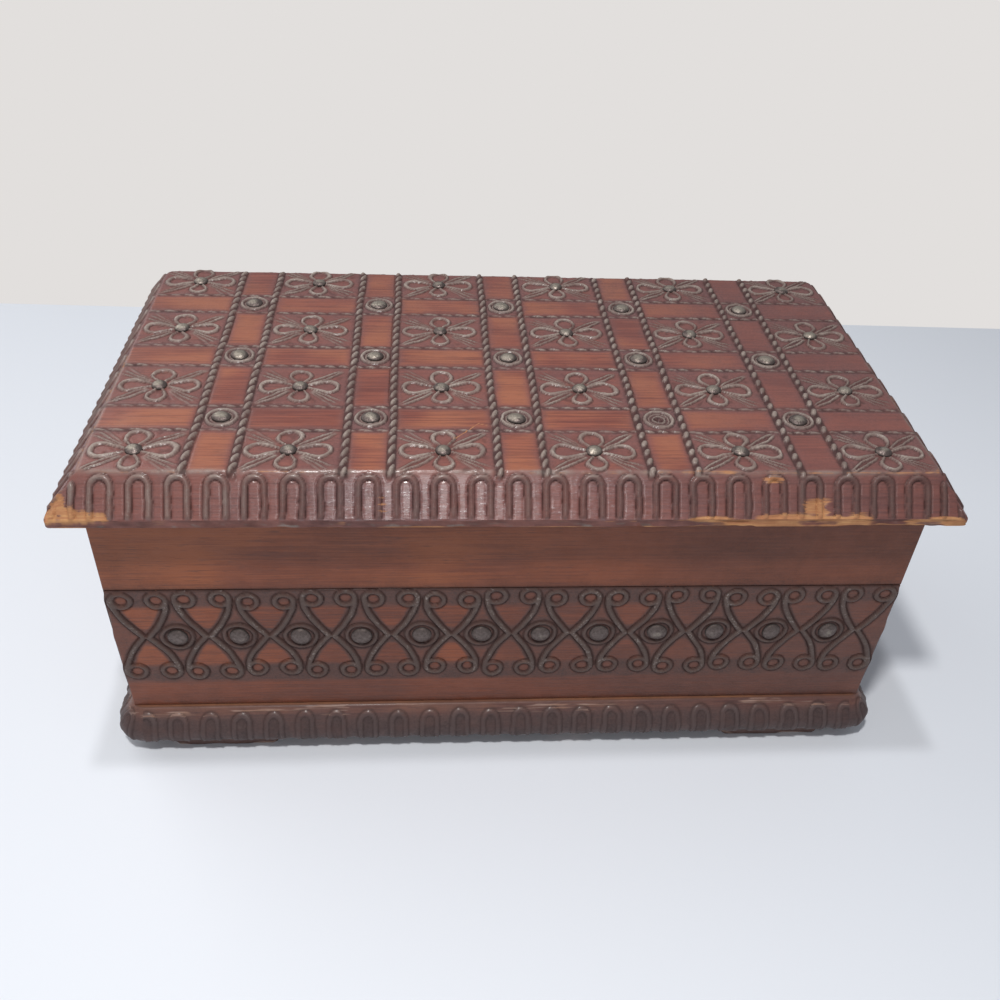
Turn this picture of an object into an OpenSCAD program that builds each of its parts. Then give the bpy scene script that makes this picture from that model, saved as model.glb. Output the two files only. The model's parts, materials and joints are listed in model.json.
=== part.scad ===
// Carved wooden jewelry box: a bevelled lid hinged on a low case, with rope, flower,
// arch and scroll carving, domed tacks, a moulded base and four low feet.
// The front faces -Y, the width runs along X, and the floor is Z = 0.

/* [Case] */
// Width of the case over its walls
case_w = 226; // [180:1:280]
// Depth of the case over its walls
case_d = 116; // [90:1:150]
// Height of the case walls, from the base board to the seam
case_h = 47.5; // [42:0.5:70]
// Thickness of the walls and of the lid's rails
wall_t = 8; // [7:0.5:11]
// Depth of the corner rabbets in the front and back pieces
rabbet = 4; // [2:0.5:5]

/* [Lid] */
// Height of the lid's plain rails
skirt_h = 28; // [15:0.5:40]
// Reach of the lid board past the rails
lid_reach = 7; // [4:0.5:12]
// Height of the square lip around the lid board
lip_h = 2.4; // [1:0.1:5]
// Height of the lid board's bevel
bevel_rise = 10; // [7:0.5:14]
// Inward run of the lid board's bevel
bevel_run = 7.8; // [5:0.1:12]
// Gap at the seam between the lid and the case
seam_gap = 0.2; // [0.1:0.05:0.5]

/* [Base] */
// Thickness of the base board
base_t = 12; // [9:0.5:16]
// Reach of the base moulding past the case
base_reach = 6; // [4:0.25:8]
// Width of the flat ledge on the base board, round the case
base_ledge = 1.4; // [1.2:0.1:2.4]
// Radius of the base moulding's roll
roll_r = 4.2; // [2.5:0.1:4.4]
// Radius of the base board's corners, in plan
base_corner_r = 9; // [7:0.5:14]
// Height of the feet
foot_h = 4; // [2:0.5:10]
// Width of a foot
foot_w = 33; // [15:1:45]
// Depth of a foot
foot_d = 18; // [10:1:30]
// Distance from the end of the base to a foot
foot_inset_x = 15.5; // [8:0.5:25]
// Distance from the front of the base to a foot
foot_inset_y = 3.3; // [2:0.1:10]
// Corner radius of a foot
foot_corner_r = 3; // [1:0.25:4.5]

/* [Carving] */
// How far the carved lines stand proud
relief = 0.6; // [0.3:0.05:1]
// Spacing of the rope pairs along the width
column_pitch = 40; // [37:0.5:50]
// Spacing of the rope pairs along the depth
row_pitch = 33.3; // [29.4:0.1:36]
// Distance between the two ropes of a pair along the width
column_gap = 12.2; // [10:0.1:13]
// Distance between the two ropes of a pair along the depth
row_gap = 11.6; // [10:0.1:12.4]
// Width of a carved rope
rope_w = 1.9; // [1:0.1:2.6]
// Width of an arch
arch_w = 6.1; // [4:0.1:8]
// Spacing of the arches
arch_pitch = 9.5; // [8.5:0.1:14]
// Width of the line that draws an arch
arch_line = 1.7; // [0.8:0.1:1.9]
// Spacing of the scroll motifs around the case
scroll_pitch = 17.4; // [15.5:0.1:24]
// Radius of a scroll's ring, at the middle of its line
scroll_r = 2.85; // [1.5:0.05:3]
// Width of the line that draws a scroll
scroll_line = 1.3; // [0.6:0.1:1.6]
// Height of the scroll band
band_h = 35.4; // [30:0.2:38]
// Length of a flower's side petals, from the flower's centre
petal_reach = 11.4; // [9:0.1:11.8]
// Width of a side petal
petal_w = 6; // [4.5:0.1:6.4]
// Length of a flower's front and back petals
short_petal_reach = 7.5; // [6.8:0.1:7.8]
// Width of a front or back petal
short_petal_w = 6.6; // [5:0.1:6.8]
// Width of the line that draws a petal
petal_line = 1; // [0.6:0.1:1.3]
// Width of the blades between the petals
blade_w = 0.6; // [0.4:0.05:0.8]

/* [Tacks] */
// Radius of a tack's head on the lid
lid_tack_r = 2.3; // [1.5:0.1:2.5]
// Radius of a tack's head on the case
case_tack_r = 3; // [2:0.1:3.2]
// Height of a tack's domed head
tack_dome = 1.5; // [0.8:0.1:2]
// Radius of a tack's shank
shank_r = 0.8; // [0.5:0.05:1.2]
// Length of a tack's shank
shank_len = 5; // [3:0.25:6]
// Radius of the carved ring round a case tack, at the middle of its line
ring_r = 4.4; // [4.1:0.1:5]
// Radius of the carved ring round a lid tack, at the middle of its line
lid_ring_r = 3.9; // [3.4:0.1:4.2]

/* [Hinges] */
// Distance from the end of the case to the middle of a hinge
hinge_inset = 43; // [30:1:60]
// Length of a hinge
hinge_len = 24; // [16:1:40]
// Distance of the hinge pin in from the back face
pin_inset = 2.2; // [2:0.1:2.6]
// Radius of the hinge's knuckles
knuckle_r = 1.6; // [1.4:0.05:1.8]
// Radius of the hinge pin
pin_r = 0.75; // [0.5:0.05:1]
// Thickness of a hinge leaf
leaf_t = 0.8; // [0.5:0.05:1]
// Width of a hinge leaf, from the pin's line
leaf_w = 5.2; // [4.6:0.1:5.6]
// Radius of a screw's head
screw_head_r = 1.2; // [0.9:0.05:1.3]
// Radius of a screw's shank
screw_r = 0.65; // [0.4:0.05:0.8]
// Length of a screw under its head
screw_len = 6; // [4:0.5:10]
// Angle that the lid opens to
open_angle = 100; // [90:1:110]

/* [Hidden] */
$fn = 48;

// Clearances
hole_gap = 0.05;      // round each shank, pin and screw
head_gap = 0.2;       // round the head of a tack
running_gap = 0.3;    // round the hinge knuckles
knuckle_gap = 0.2;    // between neighbouring knuckles
leaf_gap = 0.1;       // round a leaf in its recess
stop_slack = 1;       // degrees left between the back chamfers at full opening
bite = 0.4;           // how deep a carved line starts inside its board
fuse = 0.01;          // overlap of shapes that are one piece of wood
past = 1;             // how far a cutter runs past the face it cuts

// Heights
base_z = foot_h;
case_z = base_z + base_t;
seam_z = case_z + case_h;
skirt_z = seam_z + seam_gap;
board_z = skirt_z + skirt_h;
bevel_z = board_z + lip_h;
top_z = bevel_z + bevel_rise;

// Plan sizes
lid_w = case_w + 2 * lid_reach;
lid_d = case_d + 2 * lid_reach;
flat_w = lid_w - 2 * bevel_run;
flat_d = lid_d - 2 * bevel_run;
base_w = case_w + 2 * base_reach;
base_d = case_d + 2 * base_reach;
side_len = case_d - 2 * (wall_t - rabbet);
bevel_angle = atan(bevel_rise / bevel_run);
bevel_len = norm([bevel_rise, bevel_run]);

// Hinge line
hinge_x = case_w / 2 - hinge_inset;
pin_y = case_d / 2 - pin_inset;
pin_z = seam_z + seam_gap / 2;
chamfer_angle = (open_angle + stop_slack) / 2;
knuckle_len = hinge_len / 5;
screw_x = hinge_len * 0.3;
screw_y = pin_y - knuckle_r - running_gap - screw_head_r - 0.3;

// Carving layout
blade_start = 5;
blade_end = 13;
outer_cell_w = 2 * petal_reach + 1;           // least room that an outer flower takes
outer_cell_d = 2 * short_petal_reach + 0.6;
column_count = max(1, floor((flat_w - column_gap - rope_w - 2 * outer_cell_w) / column_pitch) + 1);
row_count = max(1, floor((flat_d - row_gap - rope_w - 2 * outer_cell_d) / row_pitch) + 1);
rope_columns = [for (c = [0 : column_count - 1]) (c - (column_count - 1) / 2) * column_pitch];
rope_rows = [for (r = [0 : row_count - 1]) (r - (row_count - 1) / 2) * row_pitch];
// The outer flowers sit midway between the last rope and the edge of the flat top
outer_x = (rope_columns[column_count - 1] + column_gap / 2 + flat_w / 2) / 2;
outer_y = (rope_rows[row_count - 1] + row_gap / 2 + flat_d / 2) / 2;
flower_xs = concat([-outer_x],
                   [for (c = [1 : 1 : column_count - 1]) (rope_columns[c - 1] + rope_columns[c]) / 2],
                   [outer_x]);
flower_ys = concat([-outer_y],
                   [for (r = [1 : 1 : row_count - 1]) (rope_rows[r - 1] + rope_rows[r]) / 2],
                   [outer_y]);
// The crossing whose tack was knocked out, counted from the left and from the front
lost_column = 3;
lost_row = 0;
arch_len = bevel_len - 1.6;
rope_end = 0.2;       // how far a rope runs over the edge of the flat top
mitre_gap = 0.5;      // from an arch that is cut off to the corner's edge
base_arch_len = base_t - 1.5;
edge_gap = 0.4;       // from the seam to the top of the scroll band

wood = [0.47, 0.25, 0.18];
plain_wood = [0.56, 0.31, 0.20];
dark_wood = [0.34, 0.23, 0.19];
bronze = [0.42, 0.37, 0.29];
brass = [0.72, 0.56, 0.28];

// Straight bar of the given width between two points of the plane
module bar(from, to, width) {
    run = to - from;
    translate(from) rotate(atan2(run[1], run[0])) translate([0, -width / 2])
        square([norm(run), width]);
}

module ring(radius, width) {
    difference() {
        circle(r = radius + width / 2);
        circle(r = radius - width / 2);
    }
}

module rounded_plate(w, d, r) {
    translate([-w / 2 + r, -d / 2]) square([w - 2 * r, d]);
    translate([-w / 2, -d / 2 + r]) square([w, d - 2 * r]);
    for (x = [-1, 1], y = [-1, 1])
        translate([x * (w / 2 - r), y * (d / 2 - r)]) circle(r = r);
}

// Upright arch drawn as a line: legs down to Y = 0, round top
module arch_shape(length) {
    difference() {
        union() {
            translate([0, length - arch_w / 2]) circle(d = arch_w);
            translate([-arch_w / 2, 0]) square([arch_w, length - arch_w / 2]);
        }
        translate([0, length - arch_w / 2]) circle(d = arch_w - 2 * arch_line);
        translate([-arch_w / 2 + arch_line, -past])
            square([arch_w - 2 * arch_line, length - arch_w / 2 + past]);
    }
}

// Row of arches, centred, as many as fit along the length
module arch_row(run, length) {
    count = floor(run / arch_pitch) + 1;
    for (i = [0 : count - 1])
        translate([(i - (count - 1) / 2) * arch_pitch, 0]) arch_shape(length);
}

// Drop with its point at the origin and a round end, along X. Its straight sides run
// into the round end just inside the tangent, where they cross it cleanly.
module drop(reach, width) {
    r = width / 2;
    centre = [reach - r, 0];
    lean = 90 - asin(r / centre[0]);
    translate(centre) circle(r = r);
    polygon([[0, 0], centre - 0.98 * r * [cos(lean), sin(lean)], centre,
             centre - 0.98 * r * [cos(lean), -sin(lean)]]);
}

// Petal drawn as a line, along X from the flower's centre
module petal(reach, width) {
    inner = width - 2 * petal_line;
    inset = petal_line * (2 * reach - width) / width;
    difference() {
        drop(reach, width);
        translate([inset, 0]) drop(reach - petal_line - inset, inner);
    }
}

// Flower of four petals round the seat of a tack, with a pair of blades towards
// each corner of its square
module flower() {
    difference() {
        for (side = [0, 1]) rotate(180 * side) {
            petal(petal_reach, petal_w);
            rotate(90) petal(short_petal_reach, short_petal_w);
            for (lean = [-1, 1], spread = [28, 37])
                bar(blade_start * [cos(spread), lean * sin(spread)],
                    blade_end * [cos(spread), lean * sin(spread)], blade_w);
        }
        circle(r = lid_tack_r + head_gap);
    }
}

// Half of a scroll motif, opening upwards from the origin: two arms that end in rings.
// An arm is a little thinner than its ring's line, so their edges cross cleanly.
module scroll_half(rise, pitch) {
    ring_x = pitch / 2 - scroll_r - scroll_line / 2 - 0.4;
    ring_y = rise - scroll_r - scroll_line / 2;
    reach = norm([ring_x, ring_y]);
    tangent = atan2(ring_y, ring_x) - asin(scroll_r / reach);
    arm = sqrt(reach * reach - scroll_r * scroll_r);
    for (side = [-1, 1]) scale([side, 1]) {
        translate([ring_x, ring_y]) ring(scroll_r, scroll_line);
        bar([0, 0], arm * [cos(tangent), sin(tangent)], 0.9 * scroll_line);
    }
}

// Band of scroll motifs along X, hanging from Y = 0, with a ring at each tack
module scroll_band(length) {
    count = max(1, round(length / scroll_pitch));
    pitch = length / count;
    middle = -edge_gap - band_h / 2;
    for (i = [0 : count - 1]) translate([(i - (count - 1) / 2) * pitch, middle]) {
        scroll_half(band_h / 2, pitch);
        mirror([0, 1]) scroll_half(band_h / 2, pitch);
    }
    for (x = tack_xs(length)) translate([x, middle]) ring(ring_r, scroll_line);
}

// Places of the tacks along a band: one between each two motifs
function tack_xs(length) =
    let (count = max(1, round(length / scroll_pitch)), pitch = length / count)
    [for (i = [1 : 1 : count - 1]) (i - count / 2) * pitch];

// Domed tack, head upwards: the head's rim rests on Z = 0
module tack(head_r) {
    ball_r = (head_r * head_r + tack_dome * tack_dome) / (2 * tack_dome);
    intersection() {
        translate([0, 0, tack_dome - ball_r]) sphere(r = ball_r);
        cylinder(r = head_r + past, h = tack_dome + past);
    }
    translate([0, 0, -shank_len]) cylinder(r = shank_r, h = shank_len + fuse);
}

module tack_hole() {
    translate([0, 0, -shank_len - 0.5]) cylinder(r = shank_r + hole_gap, h = shank_len + 0.5 + past);
}

// Puts what is drawn in the XY plane onto an upright face, X to the right and Y up,
// with +Z pointing out of the face
module on_front(y) { translate([0, y, 0]) rotate([90, 0, 0]) children(); }
module on_back(y) { rotate(180) on_front(-y) children(); }
module on_right(x) { rotate(90) on_front(-x) children(); }
module on_left(x) { rotate(-90) on_front(x) children(); }

band_top = seam_z;
tack_z = band_top - edge_gap - band_h / 2;

module band_tacks(length) {
    for (x = tack_xs(length)) translate([x, tack_z, 0]) tack(case_tack_r);
}

module band_relief(length) {
    translate([0, band_top, -bite]) linear_extrude(relief + bite) scroll_band(length);
}

module band_holes(length) {
    for (x = tack_xs(length)) translate([x, tack_z, 0]) tack_hole();
}

// Profile of the base moulding, outwards from a corner's centre: a roll below,
// and a slope from the roll up to the ledge round the case
module base_profile() {
    roll_x = base_corner_r - roll_r;
    top_x = base_corner_r - base_reach + base_ledge;
    reach = norm([top_x - roll_x, base_t - roll_r]);
    touch = atan2(base_t - roll_r, top_x - roll_x) - acos(roll_r / reach);
    inside = roll_r * 0.96; // the slope starts inside the roll, so that the two cross at a clear angle
    translate([roll_x, roll_r]) circle(r = roll_r);
    polygon([[0, 0], [roll_x, 0], [roll_x, roll_r],
             [roll_x + inside * cos(touch), roll_r + inside * sin(touch)], [top_x, base_t], [0, base_t]]);
}

// Base board with its moulding, grown outwards by the given amount
module base_form(grow) {
    half_x = base_w / 2 - base_corner_r + grow;
    half_y = base_d / 2 - base_corner_r + grow;
    translate([-half_x, -half_y, 0]) cube([2 * half_x, 2 * half_y, base_t]);
    for (side = [0, 1]) rotate(180 * side) {
        translate([-half_x, -half_y, 0]) rotate([90, 0, 90]) mirror([1, 0, 0])
            linear_extrude(2 * half_x) base_profile();
        translate([half_x, -half_y, 0]) rotate([90, 0, 180]) mirror([1, 0, 0])
            linear_extrude(2 * half_y) base_profile();
        translate([half_x, half_y, 0]) rotate_extrude(angle = 90) base_profile();
        translate([-half_x, half_y, 0]) rotate(90) rotate_extrude(angle = 90) base_profile();
    }
}

module base_arches(run) {
    translate([0, 0.6, -base_reach - base_corner_r]) linear_extrude(2 * base_corner_r + 4)
        arch_row(run - 2 * base_corner_r, base_arch_len);
}

module base_board() {
    color(dark_wood) translate([0, 0, base_z]) {
        base_form(0);
        intersection() {
            base_form(relief);
            union() {
                on_front(-base_d / 2) base_arches(base_w);
                on_back(base_d / 2) base_arches(base_w);
                on_right(base_w / 2) base_arches(base_d);
                on_left(-base_w / 2) base_arches(base_d);
            }
        }
    }
}

// One foot, with signs that say which corner it stands under
module foot(side, end) {
    color(dark_wood)
        translate([side * (base_w / 2 - foot_inset_x - foot_w / 2),
                   end * (base_d / 2 - foot_inset_y - foot_d / 2), 0])
            linear_extrude(foot_h) rounded_plate(foot_w, foot_d, foot_corner_r);
}

// Front or back piece, outer face towards -Y, with a rabbet at each end
module long_board(height) {
    difference() {
        translate([-case_w / 2, -case_d / 2, 0]) cube([case_w, wall_t, height]);
        for (side = [-1, 1])
            translate([side * case_w / 2 - wall_t, -case_d / 2 + wall_t - rabbet, -past])
                cube([2 * wall_t, rabbet + past, height + 2 * past]);
    }
}

// Side piece, outer face towards -Y before it is turned, held in the rabbets
module short_board(height) {
    translate([-side_len / 2, -case_w / 2, 0]) cube([side_len, wall_t, height]);
}

module front_wall() {
    color(wood) {
        difference() {
            translate([0, 0, case_z]) long_board(case_h);
            on_front(-case_d / 2) band_holes(case_w);
        }
        on_front(-case_d / 2) band_relief(case_w);
    }
}

module back_wall() {
    color(wood) difference() {
        union() {
            translate([0, 0, case_z]) rotate(180) long_board(case_h);
            on_back(case_d / 2) band_relief(case_w);
        }
        on_back(case_d / 2) band_holes(case_w);
        back_chamfer();
        for (side = [-1, 1]) translate([side * hinge_x, 0, 0]) leaf_recess();
    }
}

module side_wall() {
    difference() {
        translate([0, 0, case_z]) short_board(case_h);
        on_front(-case_w / 2) band_holes(side_len);
    }
    on_front(-case_w / 2) band_relief(side_len);
}

module left_wall() { color(wood) rotate(-90) side_wall(); }
module right_wall() { color(wood) rotate(90) side_wall(); }

// Lid rails
module lid_front_rail() { color(plain_wood) translate([0, 0, skirt_z]) long_board(skirt_h); }

module lid_back_rail() {
    color(plain_wood) difference() {
        translate([0, 0, skirt_z]) rotate(180) long_board(skirt_h);
        upside_down() {
            back_chamfer();
            for (side = [-1, 1]) translate([side * hinge_x, 0, 0]) leaf_recess();
        }
    }
}

module lid_left_rail() { color(plain_wood) translate([0, 0, skirt_z]) rotate(-90) short_board(skirt_h); }
module lid_right_rail() { color(plain_wood) translate([0, 0, skirt_z]) rotate(90) short_board(skirt_h); }

// Bevelled board: square lip, bevel on four sides, flat top
module bevelled_board() {
    intersection() {
        rotate([90, 0, 0]) linear_extrude(lid_d, center = true) board_section(lid_w);
        rotate([90, 0, 90]) linear_extrude(lid_w, center = true) board_section(lid_d);
    }
}

module board_section(width) {
    polygon([[-width / 2, 0], [width / 2, 0], [width / 2, lip_h],
             [width / 2 - bevel_run, lip_h + bevel_rise], [-width / 2 + bevel_run, lip_h + bevel_rise],
             [-width / 2, lip_h]]);
}

// Arches on the bevel that faces -Y, for a board of the given width and depth. The
// outermost are cut off just short of the mitres.
module bevel_arches(width, depth) {
    half = width / 2 - mitre_gap;
    translate([0, -depth / 2, lip_h]) rotate([bevel_angle, 0, 0]) translate([0, 0, -bite])
        linear_extrude(relief + bite) intersection() {
            translate([0, (bevel_len - arch_len) / 2]) arch_row(width - bevel_run, arch_len);
            polygon([[-half, 0], [half, 0], [half - bevel_run, bevel_len], [-half + bevel_run, bevel_len]]);
        }
}

// Round bead along Y, sunk until it stands proud by the relief
module rope(length) {
    translate([0, length / 2, relief - rope_w / 2]) rotate([90, 0, 0]) cylinder(d = rope_w, h = length);
}

module top_relief() {
    translate([0, 0, lip_h + bevel_rise]) {
        for (c = rope_columns, side = [-1, 1])
            translate([c + side * column_gap / 2, 0]) rope(flat_d + 2 * rope_end);
        for (r = rope_rows, side = [-1, 1], x = flower_xs)
            translate([x, r + side * row_gap / 2]) rotate(90) rope(column_pitch - column_gap - 2 * rope_w);
        translate([0, 0, -bite]) linear_extrude(relief + bite) {
            for (x = flower_xs, y = flower_ys) translate([x, y]) flower();
            for (c = rope_columns, r = rope_rows) translate([c, r]) ring(lid_ring_r, petal_line);
        }
    }
}

module lid_board() {
    color(wood) translate([0, 0, board_z]) {
        difference() {
            bevelled_board();
            translate([0, 0, lip_h + bevel_rise]) {
                for (x = flower_xs, y = flower_ys) translate([x, y, 0]) tack_hole();
                for (c = rope_columns, r = rope_rows) translate([c, r, 0]) tack_hole();
            }
        }
        for (side = [0, 1]) rotate(180 * side) {
            bevel_arches(lid_w, lid_d);
            rotate(90) bevel_arches(lid_d, lid_w);
        }
        top_relief();
    }
}

module flower_tacks() {
    color(bronze) for (x = flower_xs, y = flower_ys) translate([x, y, top_z]) tack(lid_tack_r);
}

module crossing_tacks() {
    color(bronze) for (c = [0 : column_count - 1], r = [0 : row_count - 1])
        if (!(c == lost_column && r == lost_row))
            translate([rope_columns[c], rope_rows[r], top_z]) tack(lid_tack_r);
}

// Turns what is drawn for the case about the hinge line, to serve the lid
module upside_down() {
    translate([0, 0, 2 * pin_z]) mirror([0, 0, 1]) children();
}

// Chamfer along the back edge of the case, which stops the lid at full opening
module back_chamfer() {
    translate([-case_w / 2 - past, pin_y, pin_z]) rotate([90, 0, 90])
        linear_extrude(case_w + 2 * past)
            polygon([[0, 0], [4 * pin_inset, -4 * pin_inset * tan(chamfer_angle)], [4 * pin_inset, past], [0, past]]);
}

// Recess for a leaf and for the knuckles, cut into the case's back wall
module leaf_recess() {
    width = leaf_w + leaf_gap;
    translate([-hinge_len / 2 - leaf_gap, pin_y - width, seam_z - leaf_t])
        cube([hinge_len + 2 * leaf_gap, width, leaf_t + past]);
    translate([-hinge_len / 2 - 2 * leaf_gap, pin_y, pin_z]) rotate([0, 90, 0])
        cylinder(r = knuckle_r + running_gap, h = hinge_len + 4 * leaf_gap);
    for (x = [-screw_x, screw_x]) translate([x, screw_y, seam_z - leaf_t - screw_len])
        cylinder(r = screw_r + hole_gap, h = screw_len + leaf_t);
}

// Knuckles with the given numbers, from 0 to 4, with the web that joins each to its leaf
module knuckles(numbers) {
    for (i = numbers) translate([-hinge_len / 2 + i * knuckle_len + knuckle_gap / 2, pin_y, pin_z]) {
        rotate([0, 90, 0]) cylinder(r = knuckle_r, h = knuckle_len - knuckle_gap);
        translate([0, -knuckle_r - running_gap - fuse, -seam_gap / 2 - leaf_t])
            cube([knuckle_len - knuckle_gap, knuckle_r + running_gap + fuse, leaf_t]);
    }
}

// Leaf let into the case, with the knuckles of the given numbers
module leaf(numbers) {
    plate = leaf_w - knuckle_r - running_gap;
    difference() {
        union() {
            translate([-hinge_len / 2, pin_y - leaf_w, seam_z - leaf_t]) cube([hinge_len, plate, leaf_t]);
            knuckles(numbers);
        }
        translate([-hinge_len / 2 - past, pin_y, pin_z]) rotate([0, 90, 0])
            cylinder(r = pin_r + hole_gap, h = hinge_len + 2 * past);
        for (x = [-screw_x, screw_x]) translate([x, screw_y, seam_z]) screw_form(hole_gap);
    }
}

// Countersunk screw, head up, its top at Z = 0
module screw_form(grow) {
    sink = leaf_t * 0.7;
    rotate_extrude() polygon([[0, 0], [screw_head_r + grow, 0], [screw_r + grow, -sink],
                              [screw_r + grow, -leaf_t - screw_len + past + screw_r - grow],
                              [0, -leaf_t - screw_len + past]]);
}

module case_screws() {
    for (x = [-screw_x, screw_x]) translate([x, screw_y, seam_z]) screw_form(0);
}

module hinge_pin() {
    translate([-hinge_len / 2, pin_y, pin_z]) rotate([0, 90, 0]) cylinder(r = pin_r, h = hinge_len);
}

case_knuckles = [0, 2, 4];
lid_knuckles = [1, 3];

module case_leaf() { color(brass) leaf(case_knuckles); }
module lid_leaf() { color(brass) upside_down() leaf(lid_knuckles); }

base_board();
foot(-1, -1);  // foot_front_left
foot(1, -1);  // foot_front_right
foot(-1, 1);  // foot_back_left
foot(1, 1);  // foot_back_right
front_wall();
back_wall();
left_wall();
right_wall();
color(bronze) on_front(-case_d / 2) band_tacks(case_w);  // front_tacks
color(bronze) on_back(case_d / 2) band_tacks(case_w);  // back_tacks
color(bronze) on_left(-case_w / 2) band_tacks(side_len);  // left_tacks
color(bronze) on_right(case_w / 2) band_tacks(side_len);  // right_tacks
lid_board();
lid_front_rail();
lid_back_rail();
lid_left_rail();
lid_right_rail();
flower_tacks();
crossing_tacks();
translate([-hinge_x, 0, 0]) case_leaf();  // left_hinge_case_leaf
translate([-hinge_x, 0, 0]) lid_leaf();  // left_hinge_lid_leaf
color(brass) translate([-hinge_x, 0, 0]) hinge_pin();  // left_hinge_pin
color(brass) translate([-hinge_x, 0, 0]) case_screws();  // left_hinge_case_screws
color(brass) translate([-hinge_x, 0, 0]) upside_down() case_screws();  // left_hinge_lid_screws
translate([hinge_x, 0, 0]) case_leaf();  // right_hinge_case_leaf
translate([hinge_x, 0, 0]) lid_leaf();  // right_hinge_lid_leaf
color(brass) translate([hinge_x, 0, 0]) hinge_pin();  // right_hinge_pin
color(brass) translate([hinge_x, 0, 0]) case_screws();  // right_hinge_case_screws
color(brass) translate([hinge_x, 0, 0]) upside_down() case_screws();  // right_hinge_lid_screws
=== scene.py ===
"""Dresses the carved jewelry box: carved boards, domed tacks, hinges, light and camera.

Sizes in the classes are in millimetres, as in the part's source, with the front towards -Y and
the floor at Z = 0. A surface is a grid of points worked out with numpy. Each point also carries
masks that the finishes read:

    line    1 on top of a carved line, and a painted highlight along the lid's front top edge and near the lower edge of its lip
    groove  1 in the dark cut beside a carved line, whose dark is partly painted shade; on the lid it also
    carries painted shade towards the right and on the bevels grime  how dark the ground is, from its stain,
    soiling and painted shade beside the ropes, along board edges and towards the right bright  how far the
    ground shows its plain red-orange stain, faded with painted shade towards the right of the lid and the
    front
    wear    1 where the finish is chipped off to raw wood
    bare    1 where the wood was never varnished, inside and underneath
    glaze  how thick and glossy the crackled varnish lies, and how strongly it shows a painted pale sheen and
    painted glints
"""
import json
import logging
import math
from dataclasses import dataclass
from enum import Enum
from itertools import product
from typing import Optional, Sequence

import bmesh
import bpy
import numpy as np
from mathutils import Matrix, Vector

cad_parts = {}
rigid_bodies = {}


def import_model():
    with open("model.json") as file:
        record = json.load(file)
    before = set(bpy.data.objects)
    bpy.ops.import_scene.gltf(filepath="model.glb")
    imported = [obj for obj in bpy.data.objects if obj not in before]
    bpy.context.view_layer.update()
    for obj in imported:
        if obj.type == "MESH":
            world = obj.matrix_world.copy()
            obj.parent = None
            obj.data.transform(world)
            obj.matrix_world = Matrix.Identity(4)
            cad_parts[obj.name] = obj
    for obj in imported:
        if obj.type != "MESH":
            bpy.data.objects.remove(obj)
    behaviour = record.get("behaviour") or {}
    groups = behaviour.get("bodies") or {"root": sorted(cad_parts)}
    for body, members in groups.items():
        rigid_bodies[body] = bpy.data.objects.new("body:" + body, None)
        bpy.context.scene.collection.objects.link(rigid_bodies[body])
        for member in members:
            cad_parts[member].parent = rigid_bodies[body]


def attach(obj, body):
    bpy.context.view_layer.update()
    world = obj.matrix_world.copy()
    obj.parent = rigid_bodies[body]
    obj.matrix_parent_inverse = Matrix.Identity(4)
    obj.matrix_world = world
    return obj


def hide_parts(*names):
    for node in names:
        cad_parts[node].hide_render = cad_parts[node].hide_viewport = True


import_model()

log = logging.getLogger("jewelry_box")

MM = 0.001
CASE_BOTTOM, CASE_TOP = 16.0, 63.5
SKIRT_BOTTOM, SKIRT_TOP = 63.7, 91.7
LID_TOP = 104.1
CASE_HALF_W, CASE_HALF_D = 113.0, 58.0
SEAM_MIDDLE = 63.6
BAND_MIDDLE = 45.4
HINGE_X = 70.0

Array = np.ndarray
Socket = bpy.types.NodeSocket
Place = tuple[float, float, float]
Part = tuple[slice, slice]
WHOLE: Part = (slice(None), slice(None))
MASKS = ("line", "groove", "grime", "bright", "wear", "bare", "glaze")


# Number tools

def ease(value: Array, low: float, high: float) -> Array:
    """Rises smoothly from 0 at low to 1 at high: 3t^2 - 2t^3 of the clipped fraction t."""
    t = np.clip((value - low) / (high - low), 0.0, 1.0)
    return t * t * (3.0 - 2.0 * t)


def within(value: Array, full: float, none: float) -> Array:
    """Falls smoothly from 1 at full and below to 0 at none and past it."""
    return ease(-value, -none, -full)


def bell(value: Array, width: float) -> Array:
    """Bell curve: e to the power of minus (value / width) squared."""
    return np.exp(-(value / width) ** 2)


def unit(value: Array) -> Array:
    """Value held between 0 and 1."""
    return np.clip(value, 0, 1)


def most(*values: Array) -> Array:
    """The largest of several values at each point."""
    return np.maximum.reduce(np.broadcast_arrays(*values))


def blotches(x: Array, y: Array, size: float, seed: float) -> Array:
    """Smooth random field from -1 to 1.

    Each corner of a square lattice gets a random value, a sine of its place multiplied until
    only its fraction counts, and the four corners round a point are blended smoothly.

    Args:
        x: First coordinate of the points.
        y: Second coordinate of the points.
        size: Distance between two lattice lines.
        seed: Number that chooses the pattern.

    Returns:
        A value for each point.
    """
    u, v = np.asarray(x) / size, np.asarray(y) / size
    i, j = np.floor(u), np.floor(v)
    s, t = u - i, v - j
    s, t = s * s * (3 - 2 * s), t * t * (3 - 2 * t)

    def corner(a: Array, b: Array) -> Array:
        """Random value of one lattice corner."""
        n = np.sin(a * 127.1 + b * 311.7 + seed * 74.7) * 43758.5453
        return 2.0 * (n - np.floor(n)) - 1.0

    low = corner(i, j) * (1 - s) + corner(i + 1, j) * s
    high = corner(i, j + 1) * (1 - s) + corner(i + 1, j + 1) * s
    return low * (1 - t) + high * t


def cloud(x: Array, y: Array, size: float, seed: float) -> Array:
    """Blotches of three sizes added up, each half as large and half as strong as the last."""
    return (blotches(x, y, size, seed) + 0.5 * blotches(x, y, size / 2, seed + 1)
            + 0.25 * blotches(x, y, size / 4, seed + 2)) / 1.75


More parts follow.
